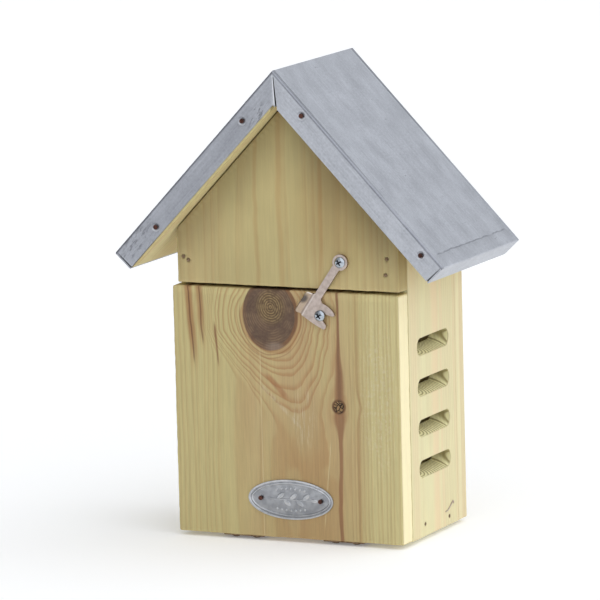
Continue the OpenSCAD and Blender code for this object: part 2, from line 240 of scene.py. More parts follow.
class Finish:
    """A material and the nodes that it is made of."""

    def __init__(self, name):
        self.material = bpy.data.materials.new(name)
        self.material.use_nodes = True
        self.tree = self.material.node_tree
        self.shader = self.tree.nodes["Principled BSDF"]
        place = self.tree.nodes.new("ShaderNodeTexCoord")
        self.place = Value(self, place.outputs["Object"])
        parts = self.tree.nodes.new("ShaderNodeSeparateXYZ")
        self.tree.links.new(place.outputs["Object"], parts.inputs[0])
        self.x, self.y, self.z = (Value(self, parts.outputs[i]) * 1000.0 for i in range(3))

    def feed(self, socket, item):
        """Sets a socket to a number, or links it to a value."""
        if isinstance(item, Value):
            self.tree.links.new(item.socket, socket)
        else:
            socket.default_value = item

    def number(self, amount):
        """A constant that stands at the left of an expression."""
        node = self.tree.nodes.new("ShaderNodeMath")
        node.operation = "ADD"
        node.inputs[0].default_value = amount
        node.inputs[1].default_value = 0.0
        return Value(self, node.outputs[0])

    def node(self, kind, settings, output, **inputs):
        """Adds a node: settings first, then inputs by name, with _ for a space."""
        node = self.tree.nodes.new(kind)
        for key, value in settings.items():
            setattr(node, key, value)
        for key, item in inputs.items():
            self.feed(node.inputs[key.replace("_", " ")], item)
        return Value(self, node.outputs[output])

    def vector(self, x, y, z):
        return self.node("ShaderNodeCombineXYZ", {}, "Vector", X=x, Y=y, Z=z)

    def noise(self, place, scale=1.0, detail=2.0, rough=0.5):
        """Fractal noise, 0 to 1, around a half."""
        return self.node("ShaderNodeTexNoise", {}, "Fac", Vector=place, Scale=scale, Detail=detail,
                         Roughness=rough)

    def mix(self, amount, first, second, blend="MIX"):
        """Blends two colours."""
        node = self.tree.nodes.new("ShaderNodeMix")
        node.data_type = "RGBA"
        node.blend_type = blend
        node.clamp_factor = True
        self.feed(node.inputs[0], amount)
        for place, item in ((6, first), (7, second)):
            self.feed(node.inputs[place], item if isinstance(item, Value) else (*item, 1.0))
        return Value(self, node.outputs[2])

    def ramp(self, amount, stops):
        """A colour ramp from (place, colour) stops."""
        node = self.tree.nodes.new("ShaderNodeValToRGB")
        band = node.color_ramp
        for index, (place, colour) in enumerate(stops):
            stop = band.elements[index] if index < 2 else band.elements.new(place)
            stop.position = place
            stop.color = (*colour, 1.0)
        self.feed(node.inputs[0], amount)
        return Value(self, node.outputs[0])

    def bump(self, height, distance, strength=1.0):
        """Turns a height into a normal; the distance is the size of its relief in metres."""
        return self.node("ShaderNodeBump", {}, "Normal", Height=height, Strength=strength,
                         Distance=distance)

    def surface(self, **inputs):
        """Sets the shader's own sockets."""
        for key, item in inputs.items():
            self.feed(self.shader.inputs[key.replace("_", " ")], item)
        return self.material


def srgb(red, green, blue):
    """A colour from 0..255 display values, as the linear numbers that a shader takes."""
    linear = []
    for part in (red, green, blue):
        part = part / 255.0
        linear.append(part / 12.92 if part <= 0.04045 else ((part + 0.055) / 1.055) ** 2.4)
    return tuple(linear)


print("helpers ready")

# %% [markdown]
# Pine is built the way a tree builds it. Its growth rings are tubes about a pith line that runs
# with the grain, so the distance from that line, cut into bands, gives straight stripes on a face,
# arches where the face runs close to the pith, and arcs on cut ends and inside the slots. Each band
# darkens slowly towards its late wood and then stops short. A noise that is stretched along the
# grain adds the fibres.

# %% The pine shader
YELLOW_PINE = srgb(228, 212, 158)
PINK_PINE = srgb(222, 192, 148)
LATE_WOOD = srgb(196, 152, 106)


def bands(distance, spacing, sharp=0.9):
    """Growth rings: 0 in the pale early wood, rising to 1 in the late wood of each ring."""
    ring = (distance * (1.0 / spacing)).math("FRACT")
    return ring.lift(0.25, sharp) * (1.0 - ring.lift(sharp, 1.0))


def fibres(finish, across, depth, along, fine=1.0):
    """Fine streaks along the grain."""
    place = finish.vector(across * fine, depth * fine, along * (0.03 * fine))
    return finish.noise(place, 1.0, 4.0, 0.65)


def blob(across, along, centre, size, soft=0.4):
    """1 inside a soft oval, 0 outside it."""
    dx = (across - centre[0]) * (1.0 / size[0])
    dz = (along - centre[1]) * (1.0 / size[1])
    return 1.0 - (dx * dx + dz * dz).math("SQRT").lift(1.0 - soft, 1.0 + soft)


def finish_pine(finish, colour, late, fibre, relief=0.00022):
    """Puts a pine colour, its sheen and its raised grain on the shader."""
    height = late * 0.45 + fibre * 0.55
    return finish.surface(Base_Color=colour, Roughness=fibre.lift(0.2, 0.8, 0.62, 0.82),
                          Specular_IOR_Level=0.35, Normal=finish.bump(height, relief))


def pine(name, axis, pith, spacing, tint=(1.0, 1.0, 1.0), waver=5.0, contrast=0.5, pinkness=0.5,
         base=YELLOW_PINE, stain_and_painted_light=None):
    """A plain pine board: axis is the grain's direction, pith the line's place across it in mm.

    A last step of the board's own, from its colour and late wood to a new colour, adds stains and painted
    light and shade.
    """
    finish = Finish(name)
    across, depth, along = {"z": (finish.x, finish.y, finish.z),
                            "y": (finish.x, finish.z, finish.y),
                            "x": (finish.z, finish.y, finish.x)}[axis]
    sway = finish.noise(finish.vector(across * 0.011, depth * 0.011, along * 0.006), 1.0, 1.0)
    side = across - pith[0] + (sway - 0.5) * waver
    deep = depth - pith[1] + (sway - 0.5) * waver
    distance = (side * side + deep * deep).math("SQRT")
    pace = finish.noise(finish.vector(distance * 0.12, along * 0.002, 0.0), 1.0, 1.0)
    late = bands(distance + (pace - 0.5) * (3.0 * spacing), spacing)
    fibre = fibres(finish, across, depth, along)
    broad = finish.noise(finish.vector(distance * 0.09, along * 0.004, 3.0), 1.0, 2.0)
    pale = finish.mix(broad.lift(0.42, 0.62) * pinkness, scaled_by(base, tint), scaled_by(PINK_PINE, tint))
    colour = finish.mix(late * contrast, pale, scaled_by(LATE_WOOD, tint))
    shade = fibre.lift(0.25, 0.75, 0.93, 1.04)
    colour = finish.mix(1.0, colour, finish.vector(shade, shade, shade), "MULTIPLY")
    if stain_and_painted_light:
        colour = stain_and_painted_light(finish, colour)
    finish_pine(finish, colour, late, fibre)
    return finish.material


def scaled_by(colour, tint):
    """A colour with each part scaled by a tint."""
    return tuple(part * share for part, share in zip(colour, tint))


def side_stain_and_slot_light(finish, colour):
    """Broad pink stripes, fine lines at the rear, and greener end grain inside the slots, whose pale ground
    is painted light.
    """
    drift = (finish.noise(finish.vector(finish.y * 0.02, 0.0, finish.z * 0.012), 1.0, 2.0) - 0.5) * 9.0
    place = finish.y + drift
    pink = 0.0
    for centre, half, depth in ((-25.0, 4.5, 0.2), (3.0, 5.0, 0.5), (12.0, 2.0, 0.3), (31.0, 1.6, 0.25)):
        pink = (1.0 - (place - centre).math("ABSOLUTE").lift(half * 0.3, half * 1.5)) * depth + pink
    colour = finish.mix(pink.math("MINIMUM", 0.75), colour, srgb(226, 196, 160))
    lines = bands(place * 0.9, 2.1, 0.8) * finish.y.lift(8.0, 26.0) * 0.22
    colour = finish.mix(lines, colour, srgb(198, 178, 132))
    seam = (1.0 - (finish.y - 39.0 + drift * 0.1).math("ABSOLUTE").lift(0.1, 0.5)) * 0.35
    colour = finish.mix(seam, colour, srgb(176, 156, 104))
    inside = 1.0 - finish.x.math("ABSOLUTE").lift(69.0, 69.7)
    across = (finish.y + 13.0) * (finish.y + 13.0)
    deep = (finish.x.math("ABSOLUTE") - 61.0) * (finish.x.math("ABSOLUTE") - 61.0) * 1.6
    arcs = bands((across + deep).math("SQRT") + drift * 0.2, 2.5, 0.8)
    # Painted light: the slots' end grain lies on a ground paler than the board, to lighten their shaded
    # walls.
    green = finish.mix(arcs * 0.9, srgb(246, 240, 192), srgb(150, 136, 86))
    return finish.mix(inside * 0.92, colour, green)


def gable_streaks_and_painted_shade(finish, colour):
    """Painted shade under the roof, a browner patch at the upper right, and two faint pink streaks."""
    # Painted shade: the gable darkens towards the roof's underside.
    drop = (RIDGE_Z / MM - finish.z) * math.cos(PITCH) - finish.x.math("ABSOLUTE") * math.sin(PITCH)
    cloud = finish.noise(finish.vector(finish.x * 0.03, 0.0, finish.z * 0.018), 1.0, 3.0)
    shade = drop.lift(12.0, 46.0, 0.66, 1.0) * cloud.lift(0.3, 0.7, 0.9, 1.04)
    right = blob(finish.x, finish.z, (34.0, 192.0), (26.0, 30.0), 0.6)
    colour = finish.mix(right * 0.3, colour, srgb(150, 118, 66))
    for centre, half in ((-18.0, 2.0), (-2.5, 2.6), (22.0, 1.8)):
        off = (finish.x - centre + (cloud - 0.5) * 8.0).math("ABSOLUTE")
        colour = finish.mix((1.0 - off.lift(half * 0.2, half)) * 0.32, colour, srgb(172, 130, 82))
    return finish.mix(1.0, colour, finish.vector(shade, shade, shade * 0.96), "MULTIPLY")


def roof_gap_shade_and_dull_edge(finish, colour):
    """Painted shade on the board ends that lie behind the sheet's folds, and a dull edge on the underside."""
    reach = finish.y.math("ABSOLUTE")
    deep = (RIDGE_Z / MM - finish.z) * math.cos(PITCH) - finish.x.math("ABSOLUTE") * math.sin(PITCH)
    # Painted shade: the board ends behind the folds are painted nearly black, as the gaps behind the slits
    # are dark.
    gap_shade = reach.lift(53.2, 53.7) * (1.0 - deep.lift(12.9, 13.2) * finish.x.math("ABSOLUTE").lift(1.4, 2.4))
    colour = finish.mix(gap_shade, colour, srgb(34, 28, 22))
    return finish.mix(reach.lift(52.8, 53.5) * deep.lift(13.0, 13.2) * 0.6, colour, srgb(188, 172, 118))


side_pine = pine("pine_sides", "z", (36.0, -6.0), 1.9, tint=(0.92, 1.0, 1.16), contrast=0.1, pinkness=0.2,
                 stain_and_painted_light=side_stain_and_slot_light)
gable_pine = pine("pine_gable", "z", (-14.0, 14.0), 3.4, tint=(0.70, 0.69, 0.66), contrast=0.2, pinkness=0.25,
                  stain_and_painted_light=gable_streaks_and_painted_shade)
inner_pine = pine("pine_inner", "z", (10.0, 60.0), 3.0, tint=(0.95, 1.02, 1.2), contrast=0.26)
roof_pine = pine("pine_roof_boards", "x", (150.0, 10.0), 2.6, tint=(0.95, 1.0, 1.02), contrast=0.3,
                 stain_and_painted_light=roof_gap_shade_and_dull_edge)
print("pine finishes ready")

# %% [markdown]
# The door is the board that everyone looks at: it is cut close to a large branch, whose knot meets
# its top edge. The rings run round the knot in ovals that hang down and to the right, and close in
# a point below. So the distance is measured here from a leaning centre line, and stretched
# downwards by a curve that levels off. A second, small knot pushes the lines aside, and brown
# streaks of heartwood run above and below it.

# %% The door's finish
def door_finish():
    """Flat-sawn pine with one large knot, one small knot and streaks of heartwood."""
    finish = Finish("pine_door")
    x = finish.x
    y = finish.y
    z = finish.z - BASE_Z / MM
    sway = finish.noise(finish.vector(x * 0.035, y * 0.02, z * 0.03), 1.0, 2.0)
    wisp = finish.noise(finish.vector(x * 0.15, y * 0.1, z * 0.06), 1.0, 2.0)

    # The lines bow round the small knot
    small_x = x - 31.2
    small_z = (z - 77.6) * 0.45
    small_sq = small_x * small_x + small_z * small_z
    push = small_x * 30.0 / (small_sq + 14.0)
    # The large knot's ovals hang along a leaning line, and level off further down
    fall = (126.0 - z).math("ABSOLUTE")
    lean = (118.0 - z).math("MAXIMUM", 0.0).math("MINIMUM", 62.0) * 0.36
    side = x + 9.5 - lean - push
    hang = (fall * (1.0 / 40.0)).math("TANH") * 42.0
    level = (side * side + hang * hang).math("SQRT") + (sway - 0.5) * 6.0 + (wisp - 0.5) * 1.6
    # Outside them the lines are upright, closest together at both sides
    drift = finish.noise(finish.vector(x * 0.03, y * 0.02, z * 0.006), 1.0, 2.0)
    outer = (x - 12.8) * 0.5
    outer = (outer * outer + 1600.0).math("SQRT") - push * 0.5 + (drift - 0.5) * 7.0
    outer = outer + (-43.0 - x).math("MAXIMUM", 0.0) * 0.5 + (x - 38.0).math("MAXIMUM", 0.0) * 0.9
    away = level.lift(35.0, 46.0)
    level = level * (1.0 - away) + outer * away + (y + 44.0) * 0.45
    pace = finish.noise(finish.vector(level * 0.13, 0.0, 7.0), 1.0, 1.0)
    late = bands(level + (pace - 0.5) * 8.0, 2.9, 0.86)
    fibre = fibres(finish, x, y, z)
    hair = fibres(finish, x, y, z, 2.6)

    # Broad tints: yellow sapwood at both sides, pink and tan in the middle
    pale = srgb(216, 202, 146)
    pink = srgb(208, 181, 134)
    tan = srgb(196, 168, 118)
    middle = blob(x, z, (8.0, 60.0), (38.0, 110.0), 0.35)
    low = blob(x, z, (8.0, 12.0), (26.0, 55.0), 0.5)
    mottle = finish.noise(finish.vector(x * 0.05, y * 0.05, z * 0.012), 1.0, 3.0)
    colour = finish.mix(middle * mottle.lift(0.3, 0.6, 0.35, 1.0), pale, pink)
    colour = finish.mix(low * 0.6, colour, tan)
    sap = x.lift(44.0, 52.0)
    colour = finish.mix(sap * 0.8, colour, srgb(226, 214, 158))
    strength = (1.0 - away) * 0.34 + 0.22 + sap * 0.04
    colour = finish.mix(late * strength, colour, srgb(184, 136, 90))

    # Heartwood streaks: place at the top, sideways drift, lower end, half width
    for top, drift, end, half, depth in ((-61.6, 0.065, 97.0, 3.4, 0.9), (-54.9, 0.06, 108.0, 3.0, 0.8),
                                         (-47.5, 0.09, 96.0, 1.3, 0.7)):
        centre = (143.0 - z) * drift + top
        off = (x - centre + (wisp - 0.5) * 1.6).math("ABSOLUTE")
        start = 1.0 if end > 96.5 else 1.0 - z.lift(118.0, 124.0)
        body = (1.0 - off.lift(half * 0.35, half)) * z.lift(end - 8.0, end + 22.0) * start
        core = (1.0 - off.lift(0.15, 0.75)) * z.lift(end, end + 6.0) * start
        colour = finish.mix(body * depth * 0.85, colour, srgb(176, 128, 84))
        colour = finish.mix(core * depth * 0.8, colour, srgb(116, 76, 54))
    # The streak through the small knot widens towards it from above, and less so from below
    above = 1.0 + (1.0 - (z - 82.0).math("ABSOLUTE").lift(0.0, 42.0)) * 2.5
    below = 1.5 + (1.0 - (72.0 - z).math("ABSOLUTE").lift(0.0, 15.0)) * 2.6
    is_above = z.lift(77.0, 78.2)
    width = above * is_above + below * (1.0 - is_above)
    off = (x - 31.6 + (sway - 0.5) * 3.0 + (wisp - 0.5) * 1.2).math("ABSOLUTE") / width
    streak = 1.0 - off.lift(0.45, 1.15)
    colour = finish.mix(streak * 0.82, colour, srgb(158, 114, 82))
    colour = finish.mix((1.0 - off.lift(0.1, 0.5)) * is_above * 0.5, colour, srgb(128, 90, 66))
    # A brown line bows round the small knot on its right
    bow = (x - 42.6 + (small_z * small_z * 0.25 + 1.0) ** -1.0 * -2.2 + (wisp - 0.5) * 1.4).math("ABSOLUTE")
    colour = finish.mix((1.0 - bow.lift(0.2, 1.3)) * 0.42, colour, srgb(168, 124, 80))
    # A smear of heartwood where the rings turn
    smear_x = x + z * 0.95 - 76.0
    smear = 1.0 - smear_x.math("ABSOLUTE").lift(1.0, 3.4)
    smear = smear * blob(x, z, (-9.0, 86.0), (9.0, 9.0), 0.3)
    colour = finish.mix(smear * 0.6, colour, srgb(176, 118, 80))

    # The large knot: an egg that the door's top edge cuts, rings about its heart, arcs round them
    knot_x = (x + 10.2) * (1.0 / 17.6)
    knot_z = (z - 128.4) * (1.0 / 21.0)
    knot = (knot_x * knot_x + knot_z * knot_z).math("SQRT") + (sway - 0.5) * 0.1 + (wisp - 0.5) * 0.04
    eye_x = (x + 10.0 + (wisp - 0.5) * 1.6) * 1.12
    eye_z = z - 132.8
    eye = (eye_x * eye_x + eye_z * eye_z).math("SQRT") + (wisp - 0.5) * 1.8
    inside = 1.0 - knot.lift(0.96, 1.0)
    speck = finish.noise(finish.vector(x * 0.5, y * 0.5, z * 0.5), 1.0, 3.0)
    patch = finish.noise(finish.vector(x * 0.16, y * 0.1, z * 0.16), 1.0, 2.0)
    heart = 1.0 - eye.lift(6.0, 12.0)
    knot_colour = finish.mix(patch.lift(0.35, 0.65), srgb(108, 86, 72), srgb(120, 96, 79))
    knot_colour = finish.mix(heart * 0.55, knot_colour, srgb(134, 110, 74))
    rings = (eye * (1.0 / 1.45)).math("FRACT") - 0.5
    rings = 1.0 - rings.math("ABSOLUTE").lift(0.12, 0.34)
    knot_colour = finish.mix((1.0 - rings) * heart * 0.5, knot_colour, srgb(78, 60, 46))
    knot_colour = finish.mix(rings * heart * speck.lift(0.36, 0.56) * 0.7, knot_colour, srgb(184, 158, 110))
    arcs = ((eye * 0.62 + knot * 7.0) * (1.0 / 1.35)).math("FRACT") - 0.5
    arcs = (1.0 - arcs.math("ABSOLUTE").lift(0.08, 0.26)) * (1.0 - heart)
    knot_colour = finish.mix(arcs * patch.lift(0.38, 0.6) * 0.5, knot_colour, srgb(166, 138, 104))
    knot_colour = finish.mix(speck.lift(0.4, 0.75) * 0.3, knot_colour, srgb(150, 126, 98))
    bark = knot.lift(0.84, 0.9) * x.lift(-12.0, 2.0, 0.25, 0.8)
    knot_colour = finish.mix(bark, knot_colour, srgb(146, 106, 74))
    grey = blob(x + (wisp - 0.5) * 8.0, z, (-7.5, 109.5), (6.0, 3.0), 0.5)
    knot_colour = finish.mix(grey * 0.6, knot_colour, srgb(162, 144, 130))
    colour = finish.mix(inside, colour, knot_colour)
    rim = (1.0 - (knot - 1.09).math("ABSOLUTE").lift(0.0, 0.035)) * 0.6
    rim = rim + (1.0 - (knot - 1.19).math("ABSOLUTE").lift(0.0, 0.03)) * 0.45
    rim = rim + (1.0 - (knot - 0.99).math("ABSOLUTE").lift(0.0, 0.022)) * 0.6
    colour = finish.mix(rim * (1.0 - z.lift(126.0, 140.0)), colour, srgb(158, 112, 74))

    # The small knot: a cracked dark eye with a pale, broken ring
    round_sq = (small_x * small_x + (z - 77.6) * (z - 77.6)).math("SQRT") + (wisp - 0.5) * 1.0
    cracks = finish.node("ShaderNodeTexVoronoi", {"feature": "DISTANCE_TO_EDGE"}, "Distance",
                         Vector=finish.vector(x * 0.45, y * 0.45, z * 0.45), Scale=1.0)
    colour = finish.mix(1.0 - round_sq.lift(3.6, 5.0), colour, srgb(132, 96, 66))
    core = finish.mix(1.0 - cracks.lift(0.03, 0.16), srgb(168, 134, 92), srgb(48, 34, 24))
    colour = finish.mix(1.0 - round_sq.lift(2.9, 3.4), colour, core)
    edge = 1.0 - (round_sq - 3.5).math("ABSOLUTE").lift(0.1, 0.7)
    colour = finish.mix(edge * wisp.lift(0.4, 0.6), colour, srgb(60, 42, 30))

    # Thin pale tool lines, torn fibres and scuffs
    scratch = (1.0 - (x + 17.2).math("ABSOLUTE").lift(0.1, 0.45)) * (1.0 - z.lift(104.0, 110.0)) * 0.55
    crack = x - 21.0 - (z - 10.0) * 0.105 + (wisp - 0.5) * 1.2
    crack = 1.0 - crack.math("ABSOLUTE").lift(0.1, 0.5)
    scratch = scratch + crack * z.lift(6.0, 12.0) * (1.0 - z.lift(52.0, 60.0)) * 0.5
    colour = finish.mix(scratch * 0.9, colour, srgb(236, 222, 176))
    torn = blob(x, z, (9.0, 70.0), (7.0, 17.0), 0.5) * hair.lift(0.54, 0.64)
    edge = (x + z * 1.05 - 75.0 + (wisp - 0.5) * 5.0).math("ABSOLUTE")
    fray = (1.0 - edge.lift(0.4, 2.6)) * blob(x, z, (-3.0, 78.0), (17.0, 18.0), 0.3)
    torn = torn + fray * hair.lift(0.45, 0.6) * 0.7
    scuff = blob(x, z, (56.0, 84.0), (10.0, 38.0), 0.6) * speck.lift(0.42, 0.6) * hair.lift(0.45, 0.62)
    torn = torn + scuff * 0.8
    colour = finish.mix(torn * 0.6, colour, srgb(240, 232, 204))

    # The fibres over all. The face is darkened and its right edge painted pale: painted shade and painted
    # light, as the edge faces the light.
    shade = fibre.lift(0.25, 0.75, 0.74, 0.86) * (hair.lift(0.3, 0.7, 0.95, 1.04))
    # Painted light: the door's right edge is painted pale, as on the lit side of the board.
    painted_edge_light = x.lift(69.0, 69.8)
    colour = finish.mix(painted_edge_light * 0.8, colour, srgb(244, 234, 196))
    shade = shade * (1.0 - painted_edge_light) + painted_edge_light * hair.lift(0.3, 0.7, 0.96, 1.04)
    colour = finish.mix(1.0, colour, finish.vector(shade, shade * 0.99, shade * 0.97), "MULTIPLY")
    relief = late * 0.5 + fibre * 0.5 + torn * 0.3 - scratch * 0.8
    relief = relief - (1.0 - cracks.lift(0.02, 0.12)) * (1.0 - round_sq.lift(2.9, 3.4)) * 1.5
    return finish.surface(Base_Color=colour, Roughness=fibre.lift(0.2, 0.8, 0.6, 0.8),
                          Specular_IOR_Level=0.35, Normal=finish.bump(relief, 0.00022))


door_pine = door_finish()
print("door finish has", len(door_pine.node_tree.nodes), "nodes")

# %% [markdown]
# The roof's zinc is a bare, mill-finished sheet. The rolling left fine lines in it, which run down
# the slope and along the folded edges; handling left dark scratches and cloudy patches. The lines
# need a place measured along the slope, so x and z are turned by the pitch first.

# %% Metal finishes
FASCIA_NAILS = ((-1, 34.5, 5.8), (-1, 118.5, 8.2), (1, 30.0, 4.6), (1, 134.0, 5.2))


def zinc_finish():
    """Brushed zinc with clouding, fine lines down the slope, specks and scratches; painted shade and
    highlights at the folds, dents and ridge slit.
    """
    finish = Finish("zinc_sheet")
    reach = finish.x.math("ABSOLUTE")
    drop = RIDGE_Z / MM - finish.z
    along = reach * math.cos(PITCH) + drop * math.sin(PITCH)
    square = reach * math.sin(PITCH) - drop * math.cos(PITCH)
    brushed = finish.noise(finish.vector(along * 0.02, finish.y * 1.3, square * 1.3), 1.0, 5.0, 0.7)
    cloud = finish.noise(finish.vector(along * 0.05, finish.y * 0.07, square * 0.1), 1.0, 4.0, 0.6)
    grain = finish.noise(finish.vector(along * 0.8, finish.y * 0.8, square * 0.8), 1.0, 3.0)
    scuff = finish.noise(finish.vector(along * 0.25, finish.y * 0.06, square * 0.5), 1.0, 4.0, 0.7)
    tone = brushed * 0.4 + cloud * 0.3 + grain * 0.3
    colour = finish.ramp(tone.lift(0.32, 0.68), ((0.0, srgb(172, 175, 182)), (1.0, srgb(206, 209, 216))))
    marks = scuff.lift(0.66, 0.74)
    colour = finish.mix(marks * 0.55, colour, srgb(112, 114, 120))
    # Painted shade: dark lines in the two grooves beside the front and rear folds, fainter down the slope.
    inset = REAR_Y / MM - finish.y.math("ABSOLUTE")
    on_top = square.lift(-1.1, -0.5)
    first = 1.0 - (inset - 1.25).math("ABSOLUTE").lift(0.15, 0.6)
    second = 1.0 - (inset - 2.6 + along * (0.5 / 148.0)).math("ABSOLUTE").lift(0.15, 0.6)
    fade = along.lift(30.0, 125.0, 0.85, 0.35)
    colour = finish.mix(first.math("MAXIMUM", second) * on_top * fade, colour, srgb(84, 86, 93))
    # Painted shade dulls the highlight on the folds' rounded edges.
    rim = (1.0 - inset.lift(0.5, 1.1)) * square.lift(-1.6, -1.0)
    colour = finish.mix(rim, colour, (0.62, 0.62, 0.64), "MULTIPLY")
    # Painted shade: a dark line in the crease near the eave.
    crease_waver = finish.noise(finish.vector(0.0, finish.y * 0.09, 4.0), 1.0, 2.0)
    crease = (along - 138.9 + (crease_waver - 0.5) * 3.0).math("ABSOLUTE")
    crease = (1.0 - crease.lift(0.1, 0.7)) * inset.lift(5.0, 9.0)
    colour = finish.mix(crease * crease_waver.lift(0.3, 0.52) * on_top * 0.5, colour, srgb(104, 107, 116))
    on_front = 1.0 - (finish.y - FRONT_Y / MM).lift(0.1, 0.6)
    left = finish.x.lift(-1.5, 0.5, 1.0, 0.0) * on_front
    rubbed = finish.noise(finish.vector(along * 0.16 + square * 0.2, square * 0.32, 9.0), 1.0, 3.0, 0.7)
    smudge = blob(along, square, (25.0, -10.0), (8.0, 4.0), 0.6)
    smudge = smudge + blob(along, square, (134.0, -6.0), (15.0, 7.0), 0.7) * 0.8
    colour = finish.mix(left * smudge * rubbed.lift(0.5, 0.62) * 0.55, colour, srgb(78, 77, 78))
    shadow = blob(along, square, (44.0, -8.0), (15.0, 6.0), 0.8) * 0.22
    shadow = shadow + blob(along, square, (100.0, -9.0), (34.0, 6.0), 0.8) * 0.2
    colour = finish.mix(left * shadow, colour, srgb(108, 110, 118))
    # Painted shade: the whole left fascia darker than the right.
    colour = finish.mix(left, colour, (0.86, 0.86, 0.87), "MULTIPLY")
    # Each nail's dent gets a painted highlight below, and painted shade above
    for nail_side, reach_to, deep_to in FASCIA_NAILS:
        near_side = (finish.x * nail_side).lift(-0.2, 0.2) * on_front
        ahead = along - reach_to
        below = -deep_to - square
        ring = (ahead * ahead + below * below).math("SQRT")
        ring = (1.0 - (ring - 1.9).math("ABSOLUTE").lift(0.2, 1.1)) * near_side
        slant = (ahead * 0.8 + below * 0.6) * 0.5
        colour = finish.mix(ring * slant.lift(0.1, 0.9) * 0.75, colour, srgb(236, 239, 243))
        colour = finish.mix(ring * (1.0 - slant.lift(-0.9, -0.1)) * 0.5, colour, srgb(92, 94, 101))
    # A painted highlight along the sheet's edge beside the ridge slit.
    lip = (finish.x + square * 0.07).math("ABSOLUTE")
    lip = (1.0 - lip.lift(0.2, 0.6)) * on_front * (1.0 - square.lift(-2.2, -1.6)) * square.lift(-13.0, -12.4)
    colour = finish.mix(lip * 0.8, colour, srgb(238, 241, 245))
    rough = tone.lift(0.3, 0.7, 0.4, 0.54) + marks * 0.15
    height = brushed * 0.5 + grain * 0.3 + cloud * 0.6
    return finish.surface(Base_Color=colour, Metallic=1.0, Roughness=rough,
                          Normal=finish.bump(height, 0.00012, 0.6))


def metal_finish(name, light, dark, rough=(0.3, 0.45), scale=0.6, relief=0.00001):
    """A plated or bronzed fastener metal with a little tarnish."""
    finish = Finish(name)
    place = finish.vector(finish.x * scale, finish.y * scale, finish.z * scale)
    tarnish = finish.noise(place, 1.0, 4.0, 0.6)
    colour = finish.mix(tarnish.lift(0.35, 0.7), light, dark)
    return finish.surface(Base_Color=colour, Metallic=1.0,
                          Roughness=tarnish.lift(0.3, 0.7, *rough),
                          Normal=finish.bump(tarnish, relief, 0.5))


zinc = zinc_finish()
nickel = metal_finish("worn_nickel", srgb(190, 176, 166), srgb(174, 158, 147), (0.26, 0.36), 0.3)
bright_steel = metal_finish("bright_screw_steel", srgb(186, 194, 202), srgb(150, 158, 167), (0.14, 0.24), 0.3)
bronzed = metal_finish("bronzed_steel", srgb(150, 128, 104), srgb(104, 84, 66), (0.4, 0.55))
nail_brown = metal_finish("dark_nail_heads", srgb(104, 70, 62), srgb(58, 42, 38), (0.3, 0.45), 0.9)
# The screws' cross recesses get this dark metal as painted shade.
recess_painted_shade = metal_finish("screw_recess", srgb(70, 74, 80), srgb(40, 42, 47), (0.4, 0.5), 0.5)
print("metal finishes ready")

# %% [markdown]
# Nine out of ten edges on a real board are slightly broken by sanding and handling. Each board is
# made as a joiner makes it: a plank at its size, cut with a saw plane where it meets the roof, and
# its edges eased with a bevel. The door sits in front of the left side board by a hair, as the CAD
# says, so the sizes come from the CAD's own boxes.

# %% Helpers for boards
def slab(name, low, high):
    """A block between two corners."""
    centre = [(a + b) / 2 for a, b in zip(low, high)]
    size = [b - a for a, b in zip(low, high)]
    bpy.ops.mesh.primitive_cube_add(size=1.0, location=centre, scale=size)
    return settle(newest(name))


def saw(obj, place, outward_way):
    """Cuts away what lies beyond a plane, and closes the cut."""
    pick(obj, verts=lambda v: True)
    bpy.ops.mesh.bisect(plane_co=place, plane_no=outward_way, use_fill=True, clear_outer=True)
    done()
    return obj


def ease(obj, width, segments=3, angle=30):
    """Rounds the edges that are sharper than this angle."""
    apply(obj, "BEVEL", width=width, segments=segments, limit_method="ANGLE",
          angle_limit=math.radians(angle), use_clamp_overlap=False, harden_normals=False)
    smooth(obj)
    return apply(obj, "WEIGHTED_NORMAL", keep_sharp=True)


def cut(obj, tool):
    """Cuts one shape out of another and throws the cutter away."""
    apply(obj, "BOOLEAN", operation="DIFFERENCE", object=tool, solver="EXACT")
    bpy.data.objects.remove(tool, do_unlink=True)
    return obj


def score(obj, axis, places):
    """Adds a line of points across an open mesh at each place along an axis."""
    for place in places:
        pick(obj, verts=lambda v: True)
        point = Vector((0.0, 0.0, 0.0))
        point[axis] = place * MM
        way = Vector((0.0, 0.0, 0.0))
        way[axis] = 1.0
        bpy.ops.mesh.bisect(plane_co=point, plane_no=way)
        done()


def finish_piece(obj, material):
    """Gives a piece one material."""
    obj.data.materials.clear()
    obj.data.materials.append(material)
    return obj


ROOF_NORMAL = Vector((math.sin(PITCH), 0.0, math.cos(PITCH)))
UNDERSIDE = Vector((0.0, 0.0, RIDGE_Z)) - ROOF_NORMAL * (SHEET_T + BOARD_T)


def under_roof(obj):
    """Saws a board off along both undersides of the roof boards."""
    for side in (-1, 1):
        saw(obj, (side * UNDERSIDE.x, 0.0, UNDERSIDE.z), (side * ROOF_NORMAL.x, 0.0, ROOF_NORMAL.z))
    return obj


print("roof underside at the ridge:", [round(v / MM, 1) for v in UNDERSIDE])

# %% [markdown]
# The door and the gable panel were cut from rough boards, so their edges waver a little. Each board
# is eased, divided into short lengths, and the points near its outline are moved back by a smooth
# noise. Texture alone wouldn't change the outline, which is where the eye looks for a straight cut.

# %% Door and gable
def nail_sockets(obj, nodes_faces):
    """Sinks a small round socket where each fastener meets the board's face."""
    for place, way, radius, depth in nodes_faces:
        bpy.ops.mesh.primitive_cylinder_add(vertices=20, radius=radius, depth=depth * 2,
                                            location=place,
                                            rotation=Vector(way).to_track_quat("Z", "Y").to_euler())
        cut(obj, settle(newest("socket")))
    return obj


